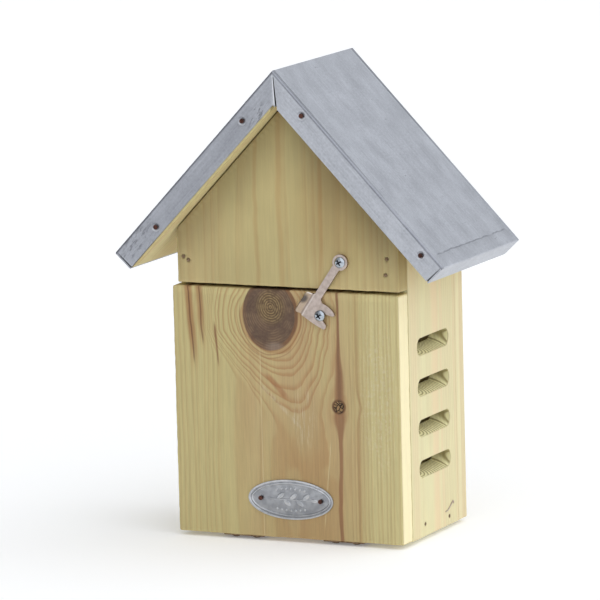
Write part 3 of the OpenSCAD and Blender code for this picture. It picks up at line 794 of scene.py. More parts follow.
def wear(obj, reach, depth, seed):
    """Sets points near the board's outline back by an uneven amount, as on a rough-sawn edge."""
    points = [v.co for v in obj.data.vertices]
    low = [min(point[i] for point in points) for i in range(3)]
    high = [max(point[i] for point in points) for i in range(3)]
    for vert in obj.data.vertices:
        for axis in (0, 2):
            rough = noise.noise((vert.co + Vector((seed, 0.0, seed))) * 160.0)
            rough = depth * max(0.0, 0.5 + 0.5 * rough + 0.5 * noise.noise(vert.co * 520.0))
            if vert.co[axis] - low[axis] < reach:
                vert.co[axis] += rough
            elif high[axis] - vert.co[axis] < reach:
                vert.co[axis] -= rough
    return obj


def plank_cuts(obj, spacing):
    """Divides a board into short lengths. Each axis is measured anew, since a cut renews the mesh."""
    for axis in (0, 2):
        places = [v.co[axis] for v in obj.data.vertices]
        low, high = min(places), max(places)
        count = int((high - low) / spacing)
        score(obj, axis, [(low + (high - low) * step / count) / MM for step in range(1, count)])
    return obj


GABLE_BRADS = ((-64.0, 159.5), (-61.0, 157.5), (62.8, 163.4), (61.8, 154.2))
GABLE_DROP = 1.5 * MM
door = slab("door_board", DOOR_LO, DOOR_HI)
pick(door, edges=lambda e: abs((e.verts[0].co - e.verts[1].co).normalized().y) > 0.99)
bpy.ops.mesh.bevel(offset=1.6 * MM, segments=4, affect="EDGES")
done()
ease(door, 0.7 * MM)
plank_cuts(door, 2.5 * MM)
wear(door, 0.5 * MM, 0.35 * MM, 3.0)
smooth(door, 50)
finish_piece(door, door_pine)
stand_for(door, "door", "pine_front", "front_door")

gable = slab("gable_board", (GABLE_LO[0], GABLE_LO[1], GABLE_LO[2]), (GABLE_HI[0], GABLE_HI[1], RIDGE_Z))
under_roof(gable)
clear = Vector((GABLE_LO[0] + 70 * MM, 0.0, -GABLE_DROP))
saw(gable, (-UNDERSIDE.x + clear.x, 0.0, UNDERSIDE.z + clear.z), (-ROOF_NORMAL.x, 0.0, ROOF_NORMAL.z))
ease(gable, 0.6 * MM)
plank_cuts(gable, 2.5 * MM)
wear(gable, 0.5 * MM, 0.3 * MM, 8.0)
nail_sockets(gable, [((x * MM, GABLE_LO[1], BASE_Z + z * MM), (0, -1, 0), 1.25 * MM, 0.9 * MM)
                     for x, z in GABLE_BRADS])
smooth(gable)
finish_piece(gable, gable_pine)
stand_for(gable, "house", "pine_gable", "gable_panel")

# %% [markdown]
# Each side board has four entrance slots. They were routed at a slant, so that rain runs out: one
# cutter with round ends is made, tilted about the board's length, copied up the board, and cut out
# of it. The cut runs across the grain, so the ring shader draws end grain on it without help.

# %% Side boards with slots
SLOT_HEIGHTS = [39.0 + 23.4 * step for step in range(4)]
SLOT_R = 4.9 * MM
SLOT_HALF = 22.0 * MM
SLOT_Y = 1.5 * MM


def slot_cutter(side, height):
    """A slanted bar with round ends."""
    bpy.ops.mesh.primitive_cylinder_add(vertices=32, radius=SLOT_R, depth=48 * MM,
                                        rotation=(0.0, math.pi / 2, 0.0))
    tool = settle(newest("slot_cutter"))
    for end in (-1, 1):
        pick(tool, verts=lambda v: v.co.y * end > 0.0001)
        bpy.ops.transform.translate(value=(0.0, end * (SLOT_HALF - SLOT_R), 0.0))
        done()
    tool.rotation_euler = (0.0, side * math.radians(15.0), 0.0)
    tool.location = (side * SIDE_HI[0], SLOT_Y, BASE_Z + height * MM)
    return settle(tool)


def side_board(side):
    """One side board with its four slots."""
    name = "right_side" if side > 0 else "left_side"
    low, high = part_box(name)
    board = slab(name + "_board", low, (high[0], high[1], RIDGE_Z))
    under_roof(board)
    for height in SLOT_HEIGHTS:
        cut(board, slot_cutter(side, height))
    nail_sockets(board, [((side * SIDE_HI[0], SIDE_LO[1] + y * MM, BASE_Z + z * MM), (side, 0, 0),
                          1.2 * MM, 0.7 * MM) for y, z in ((17.5, 7.0), (51.5, 5.0))])
    ease(board, 0.45 * MM, 2)
    finish_piece(board, side_pine)
    stand_for(board, "house", "pine_side", name)
    return board


for board_side in (1, -1):
    side_board(board_side)

# %% [markdown]
# One brad missed its mark: it came out through the face near the rear corner, and was hammered flat.
# It is a thin wire that follows a few points; a curve gets a round section
# and is turned into a mesh.

# %% Bent brad
def wire(name, points, radius):
    """A round wire along points, as a mesh."""
    curve = bpy.data.curves.new(name, "CURVE")
    curve.dimensions = "3D"
    curve.bevel_depth = radius
    curve.bevel_resolution = 3
    curve.use_fill_caps = True
    spline = curve.splines.new("NURBS")
    spline.points.add(len(points) - 1)
    for point, place in zip(spline.points, points):
        point.co = (*place, 1.0)
    spline.use_endpoint_u = True
    spline.order_u = 3
    obj = bpy.data.objects.new(name, curve)
    bpy.context.collection.objects.link(obj)
    only(obj)
    bpy.ops.object.convert(target="MESH")
    return outward(newest(name))


BRAD_POINTS = ((14.0, 8.6, 0.1), (16.5, 8.6, 0.35), (20.0, 10.4, 0.4), (23.0, 12.4, 0.4), (24.6, 13.4, 0.4),
               (25.2, 12.6, 0.4), (25.2, 11.4, 0.3))
bent = wire("bent_brad",
            [(SIDE_HI[0] + (out - 0.15) * MM, y * MM, BASE_Z + z * MM) for y, z, out in BRAD_POINTS],
            0.36 * MM)
smooth(bent, 60)
finish_piece(bent, nickel)
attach(bent, "house")
print("bent brad has", len(bent.data.polygons), "faces")

# %% [markdown]
# The back, the floor and the roof boards are plain planks behind the rest. The back gets a bored
# pocket for the head of the hanging screw. A roof plank is built flat, then turned to the slope and
# mitred at the ridge, because a cut is easier to place before it leans.

# %% Back, floor and roof boards
back_low, back_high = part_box("back_board")
back = slab("back_panel", back_low, (back_high[0], back_high[1], RIDGE_Z))
under_roof(back)
ease(back, 0.6 * MM)
HANG = Vector((0.0, back_high[1], BASE_Z + 196 * MM))
bpy.ops.mesh.primitive_cylinder_add(vertices=40, radius=5.5 * MM, depth=14 * MM, location=HANG,
                                    rotation=(math.pi / 2, 0.0, 0.0))
pocket = settle(newest("hanger_pocket"))
pick(pocket, verts=lambda v: v.co.z > HANG.z + 0.0001)
bpy.ops.transform.translate(value=(0.0, 0.0, 9 * MM))
done()
cut(back, pocket)
smooth(back)
finish_piece(back, inner_pine)
stand_for(back, "house", "pine_inner", "back_board")

floor_low, floor_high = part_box("floor_board")
floor_piece = slab("floor_plank", floor_low, floor_high)
ease(floor_piece, 0.5 * MM)
finish_piece(floor_piece, inner_pine)
stand_for(floor_piece, "house", "pine_inner", "floor_board")


def on_slope(obj, side):
    """Takes a piece built flat, with +X down the slope from the ridge, to its place on the roof."""
    obj.rotation_euler = (0.0, PITCH, 0.0)
    obj.location = (0.0, 0.0, RIDGE_Z)
    settle(obj)
    if side < 0:
        obj.scale = (-1.0, 1.0, 1.0)
        settle(obj)
        outward(obj)
    return obj


LIP_T = 1.8 * MM


def roof_plank(side):
    """One roof board, mitred at the ridge; the left one is thicker where it stands out of the walls."""
    name = "roof_board_right" if side > 0 else "roof_board_left"
    plank = slab(name + "_plank", (-20 * MM, SHEET_LO[1] + SHEET_T, -SHEET_T - BOARD_T),
                 (SLOPE_L - SHEET_T, SHEET_HI[1] - SHEET_T, -SHEET_T))
    if side < 0:
        lip = -SHEET_T - BOARD_T - LIP_T
        for start, rear in ((-20 * MM, GABLE_HI[1] - 0.1 * MM), (118 * MM, SHEET_HI[1] - SHEET_T)):
            extra = slab("lip", (start, SHEET_LO[1] + SHEET_T, lip), (SLOPE_L - SHEET_T, rear, -6 * MM))
            apply(plank, "BOOLEAN", operation="UNION", object=extra, solver="EXACT")
            bpy.data.objects.remove(extra, do_unlink=True)
        saw(plank, (SLOPE_L - SHEET_T, 0.0, -SHEET_T - BOARD_T - 0.1 * MM), (0.3, 0.0, -1.0))
    on_slope(plank, 1)
    saw(plank, (0.0, 0.0, 0.0), (-1.0, 0.0, 0.0))
    if side < 0:
        plank.scale = (-1.0, 1.0, 1.0)
        settle(plank)
        outward(plank)
    ease(plank, 0.4 * MM, 2)
    finish_piece(plank, roof_pine)
    stand_for(plank, "house", "pine_inner", name)
    return plank


roof_plank(1)
roof_plank(-1)

# %% [markdown]
# The roof is one zinc sheet over both boards: bent at the ridge, and folded down round every edge.
# One side is made flat first, as a shallow tray upside down: a block loses its underside and the
# end that meets the ridge, its folds are rounded, and the skin gets the sheet's thickness. Tilted
# to the slope and sawn down the middle, it mitres with its mirror image.

# %% Folded roof tray
def stamped(name, path, thickness):
    """A flat plate with this outline, its back on z = 0."""
    shape = bmesh.new()
    verts = [shape.verts.new((point.x * MM, point.y * MM, 0.0)) for point in path]
    shape.faces.new(verts)
    mesh = bpy.data.meshes.new(name)
    shape.to_mesh(mesh)
    shape.free()
    plate = bpy.data.objects.new(name, mesh)
    bpy.context.collection.objects.link(plate)
    pick(plate, faces=lambda f: True)
    bpy.ops.mesh.extrude_region_move(TRANSFORM_OT_translate={"value": (0.0, 0.0, thickness)})
    done()
    return outward(plate)


def dent(obj, place, radius, depth, way):
    """Pushes the surface in round a nail head."""
    shape = bmesh.new()
    shape.from_mesh(obj.data)
    for vert in shape.verts:
        gap = (vert.co - place).length / radius
        if gap < 2.5:
            vert.co += way * (depth * math.exp(-gap * gap * 1.6))
    shape.to_mesh(obj.data)
    shape.free()


def slit(obj, low_line, high_line, top):
    """Opens a slit in the front and rear folds, between two lines of (down the slope, depth) points."""
    planes = []
    for (start, start_deep), (end, end_deep) in (low_line, high_line):
        point = Vector((start * MM, 0.0, -start_deep * MM))
        run = Vector((end * MM, 0.0, -end_deep * MM)) - point
        planes.append((point, Vector((-run.z, 0.0, run.x)).normalized()))
        pick(obj, faces=lambda f: abs(f.normal.y) > 0.99)
        bpy.ops.mesh.bisect(plane_co=point, plane_no=planes[-1][1])
        done()

    def inside(face):
        spot = face.calc_center_median()
        sides = [(spot - point).dot(way) for point, way in planes]
        return abs(face.normal.y) > 0.99 and spot.z < -top * MM and sides[0] > 0 > sides[1]

    pick(obj, faces=inside)
    bpy.ops.mesh.delete(type="FACE")
    done()


def roof_tray(side):
    """One half of the zinc roof."""
    length = SLOPE_L / MM
    front = FRONT_Y / MM
    tray = slab("tray", (-20 * MM, FRONT_Y, -FOLD_D), (SLOPE_L, REAR_Y, 0.0))
    pick(tray, faces=lambda f: f.normal.z < -0.9 or f.normal.x < -0.9)
    bpy.ops.mesh.delete(type="FACE")
    done()
    pick(tray, verts=lambda v: v.co.x > SLOPE_L - 0.0001 and v.co.z < -0.001)
    bpy.ops.transform.translate(value=(0.0, 0.0, 0.6 * MM))
    done()
    pick(tray, edges=lambda e: all(v.co.z > -0.0001 for v in e.verts)
         and not all(v.co.x < 0 for v in e.verts))
    bpy.ops.mesh.bevel(offset=0.8 * MM, segments=4, affect="EDGES")
    done()
    ring = (-4.5, -3.2, -2.2, -1.3, -0.6, 0.6, 1.3, 2.2, 3.2, 4.5)
    nails = [(reach, deep) for nail_side, reach, deep in FASCIA_NAILS if nail_side == side]
    score(tray, 0, sorted({round(reach + step, 2) for reach, _ in nails for step in ring}
                          | {15.0 * step for step in range(1, 10)}
                          | {length - 9.6, length - 9.3, length - 9.0}))
    levels = {round(-deep + step, 2) for _, deep in nails for step in ring}
    score(tray, 2, sorted(level for level in levels if -13.2 < level < -0.9))
    lines = (1.0, 1.25, 1.5, 2.35, 2.6, 2.85)
    score(tray, 1, [front + line for line in lines] + [-front - line for line in lines] + [-20, 0, 20])

    shape = bmesh.new()
    shape.from_mesh(tray.data)
    for vert in shape.verts:
        flat = vert.co.z > -0.0001 and abs(vert.co.y) < -FRONT_Y - 0.9 * MM
        inset = -FRONT_Y - abs(vert.co.y)
        for line in (1.25, 2.6):
            if flat and abs(inset - line * MM) < 0.02 * MM:
                vert.co.z -= 0.26 * MM
        if flat and abs(vert.co.x - (SLOPE_L - 9.3 * MM)) < 0.02 * MM and inset > 4 * MM:
            vert.co.z -= 0.2 * MM
        if flat and 2.0 * MM < inset < 3.2 * MM:
            shift = 0.5 * MM * max(0.0, vert.co.x) / SLOPE_L
            vert.co.y += math.copysign(shift, vert.co.y)
    shape.to_mesh(tray.data)
    shape.free()
    slit(tray, ((length - 1.3, 1.6), (length - 1.7, 13.4)), ((length - 1.0, 1.6), (length - 0.8, 13.4)), 1.6)
    if side > 0:
        lean = math.tan(PITCH)
        wide = 1.0 / math.cos(PITCH)
        slit(tray, ((1.9 * lean + 0.3 * wide, 1.9), (13.4 * lean + 1.4 * wide, 13.4)),
             ((1.9 * lean + 0.8 * wide, 1.9), (13.4 * lean + 2.6 * wide, 13.4)), 1.9)
    apply(tray, "SOLIDIFY", thickness=SHEET_T, offset=-1.0, use_even_offset=True)
    for reach, deep in nails:
        for face_y, way in ((FRONT_Y, 1.0), (REAR_Y, -1.0)):
            dent(tray, Vector((reach * MM, face_y, -deep * MM)), 2.4 * MM, 0.8 * MM,
                 Vector((0.0, way, 0.0)))
    on_slope(tray, 1)
    saw(tray, (0.0, 0.0, 0.0), (-1.0, 0.0, 0.0))
    if side < 0:
        tray.scale = (-1.0, 1.0, 1.0)
        settle(tray)
        outward(tray)
    return tray


roof = joined([roof_tray(1), roof_tray(-1)], "zinc_roof")
smooth(roof, 40)
finish_piece(roof, zinc)
stand_for(roof, "house", "zinc", "roof_sheet")

# %% [markdown]
# The hook was stamped from strip. Its outline is drawn as corner points with a radius at each, the
# radius is turned into a short arc, and the filled outline is given the strip's thickness. Its
# finger tab is a separate block, bent forward, with its corners rounded.

# %% Hook
def arc_corners(points, steps=5):
    """Rounds each corner (along, across, radius) of a closed outline."""
    path = []
    count = len(points)
    for index, (along, across, radius) in enumerate(points):
        corner = Vector((along, across))
        before = Vector(points[index - 1][:2]) - corner
        after = Vector(points[(index + 1) % count][:2]) - corner
        if radius <= 0:
            path.append(corner)
            continue
        reach = min(radius, before.length * 0.45, after.length * 0.45)
        start = corner + before.normalized() * reach
        end = corner + after.normalized() * reach
        for step in range(steps + 1):
            t = step / steps
            path.append(start * (1 - t) ** 2 + corner * (2 * t * (1 - t)) + end * t ** 2)
    return path


HOOK_T = 1.2 * MM
HOOK_LEAN = math.radians(34.0)
KEEPER_R = 33.5
EYE_R = 4.6
hook_outline = ((24.2, -2.9, 1.0), (24.4, -3.4, 0.6), (39.4, -3.4, 0.8), (39.2, 6.0, 5.0), (38.3, 13.0, 1.6),
                (35.5, 12.9, 2.2), (34.3, 8.9, 2.4), (30.6, 8.9, 3.2), (29.6, 12.6, 1.6), (27.3, 13.8, 0.9),
                (25.9, 11.0, 3.0), (25.6, 6.6, 3.0), (26.2, 3.4, 1.6), (24.6, 1.8, 1.6), (4.0, 1.9, 0.5),
                (4.0, -2.7, 0.5))
hook = stamped("swing_hook", arc_corners(hook_outline), HOOK_T)
bpy.ops.mesh.primitive_cylinder_add(vertices=64, radius=EYE_R * MM, depth=HOOK_T, location=(0, 0, HOOK_T / 2))
eye = settle(newest("hook_eye"))
apply(hook, "BOOLEAN", operation="UNION", object=eye, solver="EXACT")
bpy.data.objects.remove(eye, do_unlink=True)
bpy.ops.mesh.primitive_cylinder_add(vertices=40, radius=1.8 * MM, depth=4 * MM, location=(0, 0, 0))
cut(hook, settle(newest("eye_bore")))

# %% [markdown]
# The hook's nickel has yellowed. Its finger tab is painted browner, with a dark smudge, as painted
# reflection; the fold is painted as a dark shade line with a painted highlight beside it, and the tab's
# edges get a painted highlight. All of this follows the hook's own length and width, so the finish
# first turns x and z to the hook's lean.

# %% The hook's finish
def hook_finish():
    """Worn nickel; a browner, darker finger tab with a dark smudge as painted reflection, and painted shade
    and highlights along the bend and the tab's edges.
    """
    finish = Finish("hook_nickel")
    down = Matrix.Rotation(math.pi / 2 + HOOK_LEAN, 3, "Y") @ Vector((1.0, 0.0, 0.0))
    over = Matrix.Rotation(math.pi / 2 + HOOK_LEAN, 3, "Y") @ Vector((0.0, 0.0, 1.0))
    px = finish.x - PIVOT.x / MM
    pz = finish.z - PIVOT.z / MM
    along = px * down.x + pz * down.z
    across = px * over.x + pz * over.z
    tarnish = finish.noise(finish.vector(finish.x * 0.5, finish.y * 0.5, finish.z * 0.5), 1.0, 4.0, 0.6)
    colour = finish.mix(tarnish.lift(0.35, 0.7), srgb(196, 182, 174), srgb(180, 165, 156))
    # Painted reflection: the finger tab browner and darker, with a dark smudge.
    on_tab = (1.0 - across.lift(-4.2, -3.7)) * along.lift(23.8, 24.4)
    colour = finish.mix(on_tab * 0.55, colour, srgb(172, 150, 120))
    dark_reflection = blob(along, across, (29.4, -6.2), (2.6, 1.7), 0.5)
    colour = finish.mix(on_tab * dark_reflection * 0.85, colour, srgb(72, 70, 72))
    # Painted shade along the bend, with a painted highlight beside it.
    bend = (1.0 - (across + 3.6).math("ABSOLUTE").lift(0.1, 0.55)) * along.lift(23.8, 24.4)
    colour = finish.mix(bend * 0.6, colour, srgb(112, 98, 88))
    ridge = (1.0 - (across + 2.7).math("ABSOLUTE").lift(0.1, 0.5)) * along.lift(23.8, 24.4)
    colour = finish.mix(ridge * 0.5, colour, srgb(226, 218, 212))
    # A painted highlight on the tab's edges.
    rim = 1.0 - along.lift(25.0, 25.6)
    rim = rim.math("MAXIMUM", 1.0 - across.lift(-7.1, -6.7)) * on_tab
    colour = finish.mix(rim * 0.8, colour, srgb(236, 230, 224))
    return finish.surface(Base_Color=colour, Metallic=1.0, Roughness=tarnish.lift(0.3, 0.7, 0.28, 0.4),
                          Normal=finish.bump(tarnish, 0.00001, 0.5))


hook_metal = hook_finish()
print("hook finish ready")

# %% [markdown]
# The notch is a ring sector about the pivot, because the hook slides round the keeper screw as it
# turns. It is punched before the tab is joined, and the rim is bevelled last, so that the bevel
# runs round every corner alike.

# %% Notch, tab and finish of the hook
def notch_path():
    """The notch: a ring sector about the pivot, from its closed end out past the open side."""
    half = 2.05
    start = math.radians(11.0) - math.asin(half / KEEPER_R)
    inner = [start + math.radians(26.0) * step / 16 for step in range(17)]
    low = [Vector((math.cos(a), math.sin(a))) * (KEEPER_R - half) for a in inner]
    high = [Vector((math.cos(a), math.sin(a))) * (KEEPER_R + half) for a in inner]
    return low + high[::-1]


notch = stamped("notch", notch_path(), 6 * MM)
notch.location = (0.0, 0.0, -2 * MM)
cut(hook, settle(notch))
tab = slab("finger_tab", (24.6 * MM, -5.4 * MM, 0.0), (38.6 * MM, 0.0, HOOK_T))
pick(tab, edges=lambda e: abs((e.verts[0].co - e.verts[1].co).normalized().z) > 0.99
     and all(v.co.y < -0.005 for v in e.verts))
bpy.ops.mesh.bevel(offset=1.3 * MM, segments=4, affect="EDGES")
done()
tab.rotation_euler = (math.radians(-41.0), 0.0, 0.0)
tab.location = (0.0, -3.4 * MM, 0.0)
settle(tab)
tab_inside = tab
apply(hook, "BOOLEAN", operation="UNION", object=tab_inside, solver="EXACT")
bpy.data.objects.remove(tab_inside, do_unlink=True)
# The boolean leaves its points in no fixed order, and the merge depends on it, so they are sorted
# first, by their distance from a place that no two of them share.
bpy.context.scene.cursor.location = (-0.31, 0.17, 0.23)
pick(hook, verts=lambda v: True)
bpy.ops.mesh.sort_elements(type="CURSOR_DISTANCE", elements={"VERT", "EDGE", "FACE"})
bpy.context.scene.cursor.location = (0.0, 0.0, 0.0)
bpy.ops.mesh.remove_doubles(threshold=0.12 * MM)
bpy.ops.mesh.dissolve_limited(angle_limit=math.radians(1.0))
done()
ease(hook, 0.1 * MM, 2, 35)
hook.rotation_euler = (math.pi / 2, 0.0, 0.0)
settle(hook)
hook.rotation_euler = (0.0, math.pi / 2 + HOOK_LEAN, 0.0)
hook.location = (PIVOT.x, HOOK_HI[1], PIVOT.z)
settle(hook)
finish_piece(hook, hook_metal)
stand_for(hook, "hook", "plated_steel", "hook")
print("hook box", [[round(c / MM, 1) for c in corner] for corner in (HOOK_LO, HOOK_HI)])
points = [v.co for v in hook.data.vertices]
print("piece box", [round(f(p[i] for p in points) / MM, 1) for f in (min, max) for i in range(3)])

# %% [markdown]
# The name plate is a small grey casting: an oval with a raised rim, a groove inside it and a sunk
# field. A disc is stretched to the oval, and its front face is inset and pushed in and out, one
# ring at a time. The real one carries a maker's words and picture; a plain leafy twig stands here.

# %% Name plate
def plate_finish():
    """Cast grey metal, brushed bright on the raised parts and dark in the hollows, with painted shade darker
    towards the bottom.
    """
    finish = Finish("cast_plate_metal")
    tarnish = finish.noise(finish.vector(finish.x * 0.3, finish.y * 0.3, finish.z * 0.3), 1.0, 3.0, 0.5)
    colour = finish.mix(tarnish.lift(0.35, 0.7), srgb(204, 206, 210), srgb(184, 187, 192))
    deep = (finish.y - PLATE_LO[1] / MM).lift(0.3, 0.46)
    colour = finish.mix(deep * tarnish.lift(0.3, 0.7, 0.55, 0.7), colour, srgb(136, 138, 144))
    # Painted shade and light: the plate darker towards the bottom and lighter at the top.
    side = (finish.z - (PLATE_HI[2] + PLATE_LO[2]) / 2 / MM).lift(-9.0, 9.0, 0.86, 1.04)
    colour = finish.mix(1.0, colour, finish.vector(side, side, side), "MULTIPLY")
    return finish.surface(Base_Color=colour, Metallic=1.0, Roughness=tarnish.lift(0.3, 0.7, 0.3, 0.42),
                          Normal=finish.bump(tarnish, 0.00002, 0.5))


plate_metal = plate_finish()
PLATE_C = Vector(((PLATE_LO[0] + PLATE_HI[0]) / 2, PLATE_HI[1], (PLATE_LO[2] + PLATE_HI[2]) / 2))
PLATE_T = PLATE_HI[1] - PLATE_LO[1]


def plate_face(face):
    return face.normal.z > 0.9 and face.calc_area() > 0.0001


bpy.ops.mesh.primitive_cylinder_add(vertices=96, radius=0.5, depth=PLATE_T, location=(0, 0, PLATE_T / 2))
plate = newest("oval_plate")
plate.scale = (PLATE_HI[0] - PLATE_LO[0], PLATE_HI[2] - PLATE_LO[2], 1.0)
settle(plate)
for inward, push in ((0.35 * MM, 0.0), (0.6 * MM, 0.0), (0.3 * MM, -0.45 * MM), (0.45 * MM, 0.0),
                     (0.3 * MM, 0.42 * MM), (0.4 * MM, 0.0), (0.35 * MM, -0.5 * MM)):
    pick(plate, faces=plate_face)
    bpy.ops.mesh.inset(thickness=inward, depth=0.0)
    bpy.ops.transform.translate(value=(0.0, 0.0, push))
    done()
ease(plate, 0.12 * MM, 2, 30)


def leaf(name, length, width, turn, place):
    """One pointed leaf, domed, with a groove along its midrib."""
    bpy.ops.mesh.primitive_uv_sphere_add(segments=20, ring_count=10, radius=1.0)
    blade = newest(name)
    pick(blade, verts=lambda v: abs(v.co.y) < 0.16)
    bpy.ops.transform.resize(value=(1.0, 1.0, 0.55))
    done()
    blade.scale = (length / 2, width / 2, 0.48 * MM)
    settle(blade)
    shape = bmesh.new()
    shape.from_mesh(blade.data)
    for vert in shape.verts:
        share = abs(vert.co.x) / (length / 2)
        vert.co.y *= 1.0 - 0.55 * share ** 2
        vert.co.z *= 1.0 - 0.3 * share
    shape.to_mesh(blade.data)
    shape.free()
    blade.rotation_euler = (0.0, 0.0, math.radians(turn))
    blade.location = place
    return settle(blade)


FIELD_Z = PLATE_T - 0.55 * MM
twig = slab("twig", (-13.0 * MM, -0.25 * MM, FIELD_Z - 0.1 * MM), (13.0 * MM, 0.25 * MM, FIELD_Z + 0.36 * MM))
apply(twig, "BEVEL", width=0.14 * MM, segments=2, limit_method="ANGLE")
parts = [plate, twig]
for index, (along, flip) in enumerate(((-8.6, 1), (-4.6, -1), (-0.6, 1), (3.4, -1), (7.4, 1))):
    parts.append(leaf("leaf_%d" % index, 6.4 * MM, 3.0 * MM, 38.0 * flip,
                      (along * MM + 2.2 * MM, flip * 1.9 * MM, FIELD_Z)))
parts.append(leaf("leaf_tip", 5.0 * MM, 2.4 * MM, 0.0, (14.6 * MM, 0.0, FIELD_Z)))
for row in (-1, 1):
    for step in range(-3, 4):
        spot = (step * 2.9 * MM, row * (6.3 - 0.09 * step * step) * MM, FIELD_Z)
        parts.append(leaf("bead_%d_%d" % (row, step), 2.1 * MM, 1.5 * MM, 62.0 * row, spot))
plate = joined(parts, "oval_plate")
plate.rotation_euler = (math.pi / 2, 0.0, 0.0)
plate.location = PLATE_C
settle(plate)
smooth(plate, 40)
finish_piece(plate, plate_metal)
stand_for(plate, "door", "plate_metal", "name_plate")

# %% [markdown]
# A pan-head screw is turned, then punched: a low dome with a cross recess. The dome is a cap cut from
# a sphere, on a short straight skirt; the punch is two crossed wedges round a small pin. A head is
# made for each place, on its own shank.

# %% Pan-head screws
def pan_head(radius, height):
    """A pan head with a cross recess, its underside on z = 0."""
    rise = 0.75 * height
    ball = (radius ** 2 + rise ** 2) / (2 * rise)
    bpy.ops.mesh.primitive_uv_sphere_add(segments=48, ring_count=48, radius=ball,
                                         location=(0, 0, height - ball))
    head = settle(newest("pan_head"))
    saw(head, (0.0, 0.0, height - rise), (0.0, 0.0, -1.0))
    pick(head, faces=lambda f: f.normal.z < -0.9)
    bpy.ops.mesh.extrude_region_move(TRANSFORM_OT_translate={"value": (0.0, 0.0, rise - height)})
    done()
    outward(head)
    bpy.ops.mesh.primitive_cylinder_add(vertices=16, radius=0.12 * radius, depth=height * 0.7,
                                        location=(0, 0, height))
    punch = newest("punch")
    for turn in (0, 1):
        arm = slab("punch_arm", (-0.62 * radius, -0.15 * radius, height * 0.2),
                   (0.62 * radius, 0.15 * radius, height * 1.3))
        pick(arm, verts=lambda v: v.co.z < height)
        bpy.ops.transform.resize(value=(0.7, 0.8, 1.0), center_override=(0.0, 0.0, height))
        done()
        arm.rotation_euler = (0.0, 0.0, math.radians(90.0 * turn))
        settle(arm)
        apply(punch, "BOOLEAN", operation="UNION", object=arm, solver="EXACT")
        bpy.data.objects.remove(arm, do_unlink=True)
    cut(head, punch)
    # The recess faces take the dark metal, as painted shade.
    head.data.materials.clear()
    for material in (bright_steel, recess_painted_shade):
        head.data.materials.append(material)
    dome = Vector((0.0, 0.0, height - ball))
    for face in head.data.polygons:
        sunk = (face.center - dome).length < ball - 0.03 * MM
        central = face.center.z > 0.0 and face.center.xy.length < 0.66 * radius
        face.material_index = 1 if sunk and central else 0
    return head


def screws(name, body, slot, metal, node, places, way, radius, height, length, turn=20.0):
    """Puts a pan-head screw at each place, its head pointing this way."""
    made = []
    for index, place in enumerate(places):
        head = pan_head(radius, height)
        bpy.ops.mesh.primitive_cone_add(vertices=20, radius1=0.2 * MM, radius2=radius * 0.42, depth=length,
                                        location=(0, 0, -length / 2))
        shank = finish_piece(settle(newest("shank")), metal)
        head.data.materials[0] = metal
        screw = joined([head, shank], name)
        screw.rotation_euler = (0.0, 0.0, math.radians(turn + 31.0 * index))
        settle(screw)
        screw.rotation_euler = Vector(way).to_track_quat("Z", "Y").to_euler()
        screw.location = place
        made.append(settle(screw))
    piece = joined(made, name) if len(made) > 1 else made[0]
    smooth(piece, 32)
    stand_for(piece, body, slot, node)


def middle(node):
    """The centre of a CAD node's box."""
    low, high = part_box(node)
    return Vector([(a + b) / 2 for a, b in zip(low, high)])


PIVOT_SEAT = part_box("hook_pivot_screw")[0][1] + 2.0 * MM
KEEPER_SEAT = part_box("keeper_screw")[0][1] + 2.0 * MM
pivot_mid = middle("hook_pivot_screw")
keeper_mid = middle("keeper_screw")
screws("pivot_screw", "house", "screw_steel", bright_steel, "hook_pivot_screw",
       [(pivot_mid.x, PIVOT_SEAT, pivot_mid.z)], (0, -1, 0), 3.2 * MM, 2.0 * MM, 12.6 * MM, 28.0)
screws("keeper", "door", "screw_steel", bright_steel, "keeper_screw",
       [(keeper_mid.x, KEEPER_SEAT, keeper_mid.z)], (0, -1, 0), 3.2 * MM, 2.0 * MM, 10.6 * MM, 34.0)
LEAF_Z = BASE_Z - 0.8 * MM
for node, body, offset in (("hinge_screws_floor", "house", 6.3), ("hinge_screws_door", "door", -6.3)):
    screws(node.replace("screws", "pan_screws"), body, "bronzed_steel", bronzed, node,
           [((side * 31.3 + end * 6.5) * MM, AXLE.y + offset * MM, LEAF_Z)
            for side in (-1, 1) for end in (-1, 1)],
           (0, 0, -1), 3.0 * MM, 1.6 * MM, 8.6 * MM)
screws("hanger_pan_screws", "house", "screw_steel", bright_steel, "hanger_screws",
       [(0.0, HANGER_HI[1], HANG.z + rise * MM) for rise in (-9.5, 28.0)], (0, 1, 0),
       3.0 * MM, 1.6 * MM, 8.6 * MM)

# %% [markdown]
# The remaining hardware keeps the shape that the CAD gave it: nails, hinge leaves and pins, the
# washer and the keyhole hanger are already right, so they only need their metals.

# %% Metals for the parts that keep their CAD shape
KEPT = {
    "bright": ("roof_nails", "left_hinge_pin", "right_hinge_pin"),
    "nickel": ("hook_washer", "hanger_plate"),
    "dark": ("fascia_nails_front", "fascia_nails_rear", "plate_nails"),
    "bronzed": ("gable_brads", "side_nails_left", "side_nails_right", "back_nails",
                "left_hinge_fixed_leaf", "right_hinge_fixed_leaf", "left_hinge_door_leaf",
                "right_hinge_door_leaf"),
}
FINISHES = {"bright": bright_steel, "nickel": nickel, "dark": nail_brown, "bronzed": bronzed}
for finish_name, nodes in KEPT.items():
    for node in nodes:
        obj = frame["nodes"][node]
        for index in range(len(obj.data.materials)):
            obj.data.materials[index] = FINISHES[finish_name]
        print(node, "is", finish_name)

# %% [markdown]
# The house stands on a plain pale floor, wide enough to be the whole background. A soft sun from
# the right lights the side board and the slope most, a big soft panel fills the front, and an
# even pale sky does the rest.

